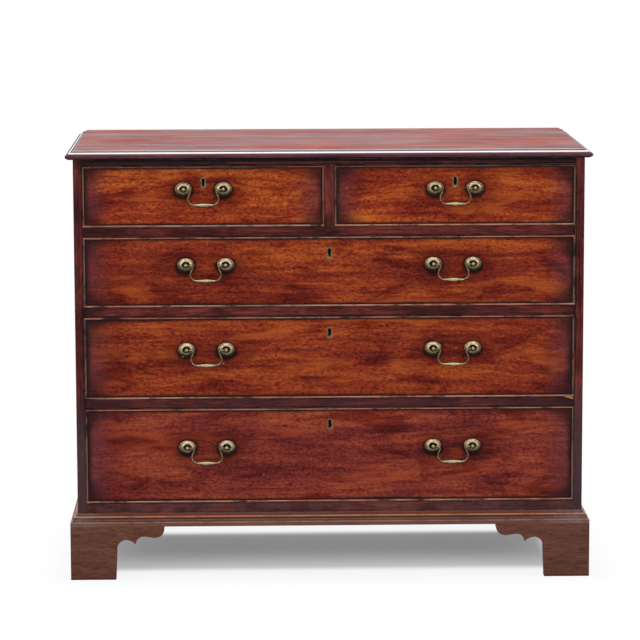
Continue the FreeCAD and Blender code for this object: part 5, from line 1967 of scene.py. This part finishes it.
@dataclass
class Studio:
    """Floor, background, lamps and the camera.

    The floor keeps its shadow under the chest, inside a soft rectangle that is darker towards the back,
    and a faint trace of it round the chest; elsewhere it is as white as the background.
    """

    floor_half: float = 14.0
    floor_tint: Colour = (0.77, 0.86, 1.0)
    ambient: float = 0.62
    lift: float = 0.17
    chest_half: tuple[float, float] = (0.53, 0.26)
    shade_half: tuple[float, float] = (0.50, 0.205)
    shade_soft: tuple[float, float] = (0.05, 0.055)
    shade_back: tuple[float, float] = (-0.26, 0.02)
    shade_shares: tuple[float, float] = (0.52, 0.46)
    trace: float = 0.15
    clear_from: float = 0.0
    clear_to: float = 0.10
    softboxes: tuple[Softbox, ...] = (
        Softbox("overhead", (0.0, -0.6, 3.0), (0.0, 0.0, 0.6), (3.2, 1.8), 40.0),
        Softbox("front_left", (-2.6, -3.4, 2.0), (0.0, 0.0, 0.5), (1.6, 1.8), 30.0),
        Softbox("front_right", (2.6, -3.4, 1.8), (0.0, 0.0, 0.5), (1.6, 1.8), 22.0),
        Softbox("rear_strip", (0.0, 2.6, 2.6), (0.0, 0.0, 0.9), (3.0, 0.8), 34.0),
    )
    lens: float = 168.75
    sensor: float = 36.0
    sight: float = 60.0
    camera_place: tuple[float, float, float] = (-0.1587, -6.3138, 1.4257)
    yaw: float = -1.3114
    pitch: float = 8.3369
    roll: float = -0.1724

    def build(self) -> None:
        """Set everything up."""
        self.build_world()
        self.build_floor()
        for softbox in self.softboxes:
            softbox.build()
        self.build_camera()
        bpy.context.scene.view_settings.view_transform = "Standard"

    @staticmethod
    def seen_directly(bench: Bench) -> Socket:
        """1 for what the camera, a mirror or glass shows, and 0 for what only lights the object.

        Args:
            bench: the tree that asks.

        Returns:
            The mask.
        """
        path = bench.add("ShaderNodeLightPath").outputs
        seen = bench.math("MAXIMUM", path["Is Camera Ray"], path["Is Glossy Ray"])
        return bench.math("MAXIMUM", seen, path["Is Transmission Ray"])

    def build_world(self) -> None:
        """An even pale surround that is white where it is seen."""
        world = bpy.data.worlds.new("surround")
        world.use_nodes = True
        bpy.context.scene.world = world
        world.node_tree.nodes.clear()
        bench = Bench(world.node_tree)
        feeds = {"Value": self.seen_directly(bench), "To Min": self.ambient, "To Max": 1.0}
        strength = bench.add("ShaderNodeMapRange", feeds).outputs[0]
        light = bench.add("ShaderNodeBackground", {"Color": (1, 1, 1, 1), "Strength": strength})
        bench.add("ShaderNodeOutputWorld", {"Surface": light.outputs[0]})

    def build_floor(self) -> None:
        """A pale floor that keeps the chest's shadow and runs out to white."""
        work = bmesh.new()
        bmesh.ops.create_grid(work, x_segments=1, y_segments=1, size=self.floor_half)
        paint = Paint("studio_floor")
        x, y, _ = paint.split(paint.place())
        corner = [paint.math("MAXIMUM", paint.less(paint.math("ABSOLUTE", part), half), 0.0)
                  for part, half in zip((x, y), self.chest_half)]
        away = paint.length_of(*corner)
        under = [paint.fade(paint.math("ABSOLUTE", part), edge, edge - soft)
                 for part, edge, soft in zip((x, y), self.shade_half, self.shade_soft)]
        least, more = self.shade_shares
        under.append(paint.total(least, paint.product(paint.fade(y, *self.shade_back), more)))
        near = paint.fade(away, self.clear_to, self.clear_from)
        kept = paint.total(paint.product(*under, 1 - self.trace), paint.product(near, self.trace))
        share = paint.less(1.0, paint.product(kept, 1 - self.lift))
        white = paint.add("ShaderNodeEmission", {"Color": (1, 1, 1, 1), "Strength": 1.0})
        matt = paint.add("ShaderNodeBsdfDiffuse", {"Color": (*self.floor_tint, 1)})
        mixed = paint.add("ShaderNodeMixShader", {0: paint.product(share, self.seen_directly(paint)),
                                                  1: matt.outputs[0], 2: white.outputs[0]})
        paint.add("ShaderNodeOutputMaterial", {"Surface": mixed.outputs[0]})
        floor = MeshWork.solid(work, "studio_floor", [paint.material])

    def build_camera(self) -> None:
        """The camera, almost square to the front and a little above the top."""
        camera = bpy.data.objects.new("camera", bpy.data.cameras.new("camera"))
        camera.data.lens = self.lens
        camera.data.sensor_width = self.sensor
        camera.data.clip_end = self.sight
        turn = (Matrix.Rotation(math.radians(self.yaw), 4, "Z")
                @ Matrix.Rotation(math.radians(90 - self.pitch), 4, "X")
                @ Matrix.Rotation(math.radians(self.roll), 4, "Z"))
        camera.matrix_world = Matrix.Translation(self.camera_place) @ turn
        bpy.context.scene.collection.objects.link(camera)
        bpy.context.scene.camera = camera


# ---- the whole chest


def find_handles() -> list[Handle]:
    """The handles, from the hinges of the frame."""
    bodies = frame["record"]["behaviour"]["bodies"]
    return [Handle(joint["parent"], joint["child"], bodies[joint["child"]][0], Vector(joint["pos_m"]))
            for joint in frame["joints"] if joint["type"] == "hinge"]


def stripes(level: float, rows: Sequence[tuple]) -> tuple[Band, ...]:
    """Stripes from their heights above a level, in metres, with their other values."""
    return tuple(Band(level + height, *rest) for height, *rest in rows)


def case_wood() -> CaseTimber:
    """The wood of sides and rails, with two rails tinted, and painted shadow lines over and under the drawers
    and under the top.

    Returns:
        The finish.
    """
    shades = ((0.34, tone(48, 22, 23)), (0.50, tone(88, 34, 31)), (0.66, tone(122, 52, 42)))
    fronts = [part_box(body + "_front") for body in frame["bodies"] if body.startswith("drawer_")]
    over = sorted({round(high.z, 4) for _, high in fronts})
    under = sorted({round(low.z, 4) for low, _ in fronts})
    lower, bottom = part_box("drawer_rail_lower"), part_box("bottom_rail")
    bands = (Band((lower[0].z + lower[1].z) / 2, 0.011, tone(50, 32, 38), 0.45, 0.6),
             Band((bottom[0].z + bottom[1].z) / 2, 0.012, tone(92, 66, 64), 0.40, 0.6),
             # painted shadow lines in the gaps over the drawers, deepest over the top ones
             *(Band(level + 0.0015, 0.0026, tone(28, 13, 13), 0.9, 0.35) for level in over[:-1]),
             Band(over[-1] + 0.0018, 0.0034, tone(24, 12, 12), 0.95, 0.2),
             # painted shadow on the rail under each drawer's lower bead
             *(Band(level - 0.0016, 0.0016, tone(46, 24, 25), 0.85, 0.3) for level in under),
             # painted shadow that the top's overhang casts on the top rail
             Band(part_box("top_board")[0].z - 0.0033, 0.0045, tone(22, 18, 20), 1.0, 0.15))
    return CaseTimber("case_wood", shades, opening_half=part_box("side_right")[0].x, seed=3.0,
                      ribbon=(0.12, 0.0030), shares=(0.50, 0.70, 0.36), pore_depth=0.4, wander=0.3,
                      bands=bands, arris=tone(158, 84, 62), worn=(0.42, 0.58), corner_grime=0.6,
                      grime_reach=0.06, grime_top=0.42, specular=0.08)


def plinth_wood() -> CaseTimber:
    """The plinth moulding, striped from its bead at the top to its fillet at the bottom with worn arrises and
    painted highlights and shadows.

    Returns:
        The finish.
    """
    # pale stripes are worn arrises and painted highlights on the upper curves; dark stripes are painted
    # shadows under the ovolo and in the quirks
    rows = ((0.0250, 0.0012, tone(92, 64, 58), 0.8, 0.3),
            (0.0222, 0.0016, tone(104, 54, 32), 0.85, 0.3),
            (0.0194, 0.0013, tone(186, 120, 88), 0.95, 0.35),
            (0.0162, 0.0018, tone(68, 36, 25), 0.9, 0.2),
            (0.0131, 0.0010, tone(136, 98, 82), 0.8, 0.5),
            (0.0110, 0.0010, tone(82, 58, 48), 0.8, 0.3),
            (0.0082, 0.0013, tone(152, 110, 94), 0.85, 0.5),
            (0.0035, 0.0035, tone(120, 76, 62), 0.7, 0.3))
    low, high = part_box("plinth_mouldings")
    return CaseTimber("moulding_wood", ((0.36, tone(72, 44, 40)), (0.64, tone(112, 72, 58))),
                      bands=stripes(low.z, rows), seed=6.0, roughness=(0.35, 0.5), arris=tone(150, 96, 72),
                      cloudy=0.35, opening_half=high.x + 0.004, corner_grime=0.35, grime_reach=0.11,
                      dusty=0.26, specular=0.09)


def foot_wood() -> CaseTimber:
    """The feet, scuffed and dull.

    Returns:
        The finish.
    """
    shades = ((0.30, tone(80, 46, 36)), (0.50, tone(98, 60, 47)), (0.70, tone(116, 74, 55)))
    worn_foot = Band(0.0, 0.004, tone(46, 30, 25), 0.8, 0.4)
    return CaseTimber("foot_wood", shades, roughness=(0.5, 0.68), seed=8.0, streak=(0.16, 0.016),
                      ribbon=(0.07, 0.004), specular=0.08, arris=tone(166, 94, 56), worn=(0.42, 0.56),
                      cloudy=0.16, bands=(worn_foot,), pore_depth=0.3, shares=(0.40, 0.50, 0.60))


def top_woods() -> tuple[TopTimber, EdgeTimber]:
    """The faded flat of the top, and its moulded edge, whose shine is painted on as stripes of highlight and
    shadow.

    Returns:
        Both finishes.
    """
    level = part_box("top_board")[1].z
    shades = ((0.36, tone(106, 42, 39)), (0.50, tone(134, 60, 53)), (0.64, tone(156, 82, 71)))
    # the flat's pale arris is a painted highlight
    flat = TopTimber("top_wood", shades, seed=4.0, roughness=(0.28, 0.42), specular=0.034,
                     arris=tone(222, 202, 200))
    # painted stripes down the edge: a highlight at the arris, the quirk's shadow, a white highlight on the
    # ovolo and the shadow under the nose
    rows = ((-0.0170, 0.0028, tone(30, 22, 24), 0.95, 0.1),
            (-0.0081, 0.0009, tone(90, 56, 60), 0.9, 0.2),
            (-0.0068, 0.0009, tone(150, 126, 128), 0.9, 0.2),
            (-0.0050, 0.0016, tone(240, 234, 238), 0.95, 0.1),
            (-0.0030, 0.0009, tone(64, 58, 64), 0.95, 0.5),
            (-0.0018, 0.0011, tone(140, 132, 137), 0.95, 0.2),
            (-0.0005, 0.0008, tone(222, 204, 204), 0.9, 0.3))
    edge = EdgeTimber("top_edge_wood", ((0.36, tone(80, 46, 50)), (0.64, tone(96, 58, 62))), seed=5.0,
                      bands=stripes(level, rows), roughness=(0.20, 0.28), specular=0.06, ior=1.18,
                      arris=tone(104, 70, 72), cloudy=0.4)
    return flat, edge


def main() -> None:
    """Build every sub-assembly in turn, then the studio."""
    logging.basicConfig(level=logging.INFO, format="%(name)s: %(message)s")
    brass = Metal("aged_brass", tone(180, 162, 130), tone(100, 86, 64), tone(25, 21, 18),
                  mottle=1.0).material()
    iron = Metal("dark_iron", tone(120, 112, 106), tone(74, 66, 62), tone(40, 30, 26),
                 roughness=(0.45, 0.75), seed=3).material()
    oak = Timber("drawer_oak", ((0.36, tone(128, 92, 56)), (0.64, tone(172, 134, 88))), along=Axis.DEEP,
                 roughness=(0.6, 0.8), seed=2).material()
    pine = Timber("rough_pine", ((0.36, tone(122, 88, 54)), (0.64, tone(168, 128, 80))),
                  roughness=(0.65, 0.85), seed=7).material()
    TopBoard(*top_woods()).build()
    Carcass(case_wood(), pine).build()
    Plinth(plinth_wood(), foot_wood()).build()
    Nails(iron).build()
    handles = find_handles()
    trees = {"roses": RoseShape().tree(), "posts": PostShape().tree(), "nuts": NutShape().tree()}
    names = [body for body in frame["bodies"] if body.startswith("drawer_")]
    for number, name in enumerate(names):
        own = [handle for handle in handles if handle.drawer == name]
        Drawer(name, own, number, brass, iron, oak, pine, trees).build()
    Bails(handles, brass, BailShape().tree()).build()
    Studio().build()


if __name__ == "__main__":
    main()
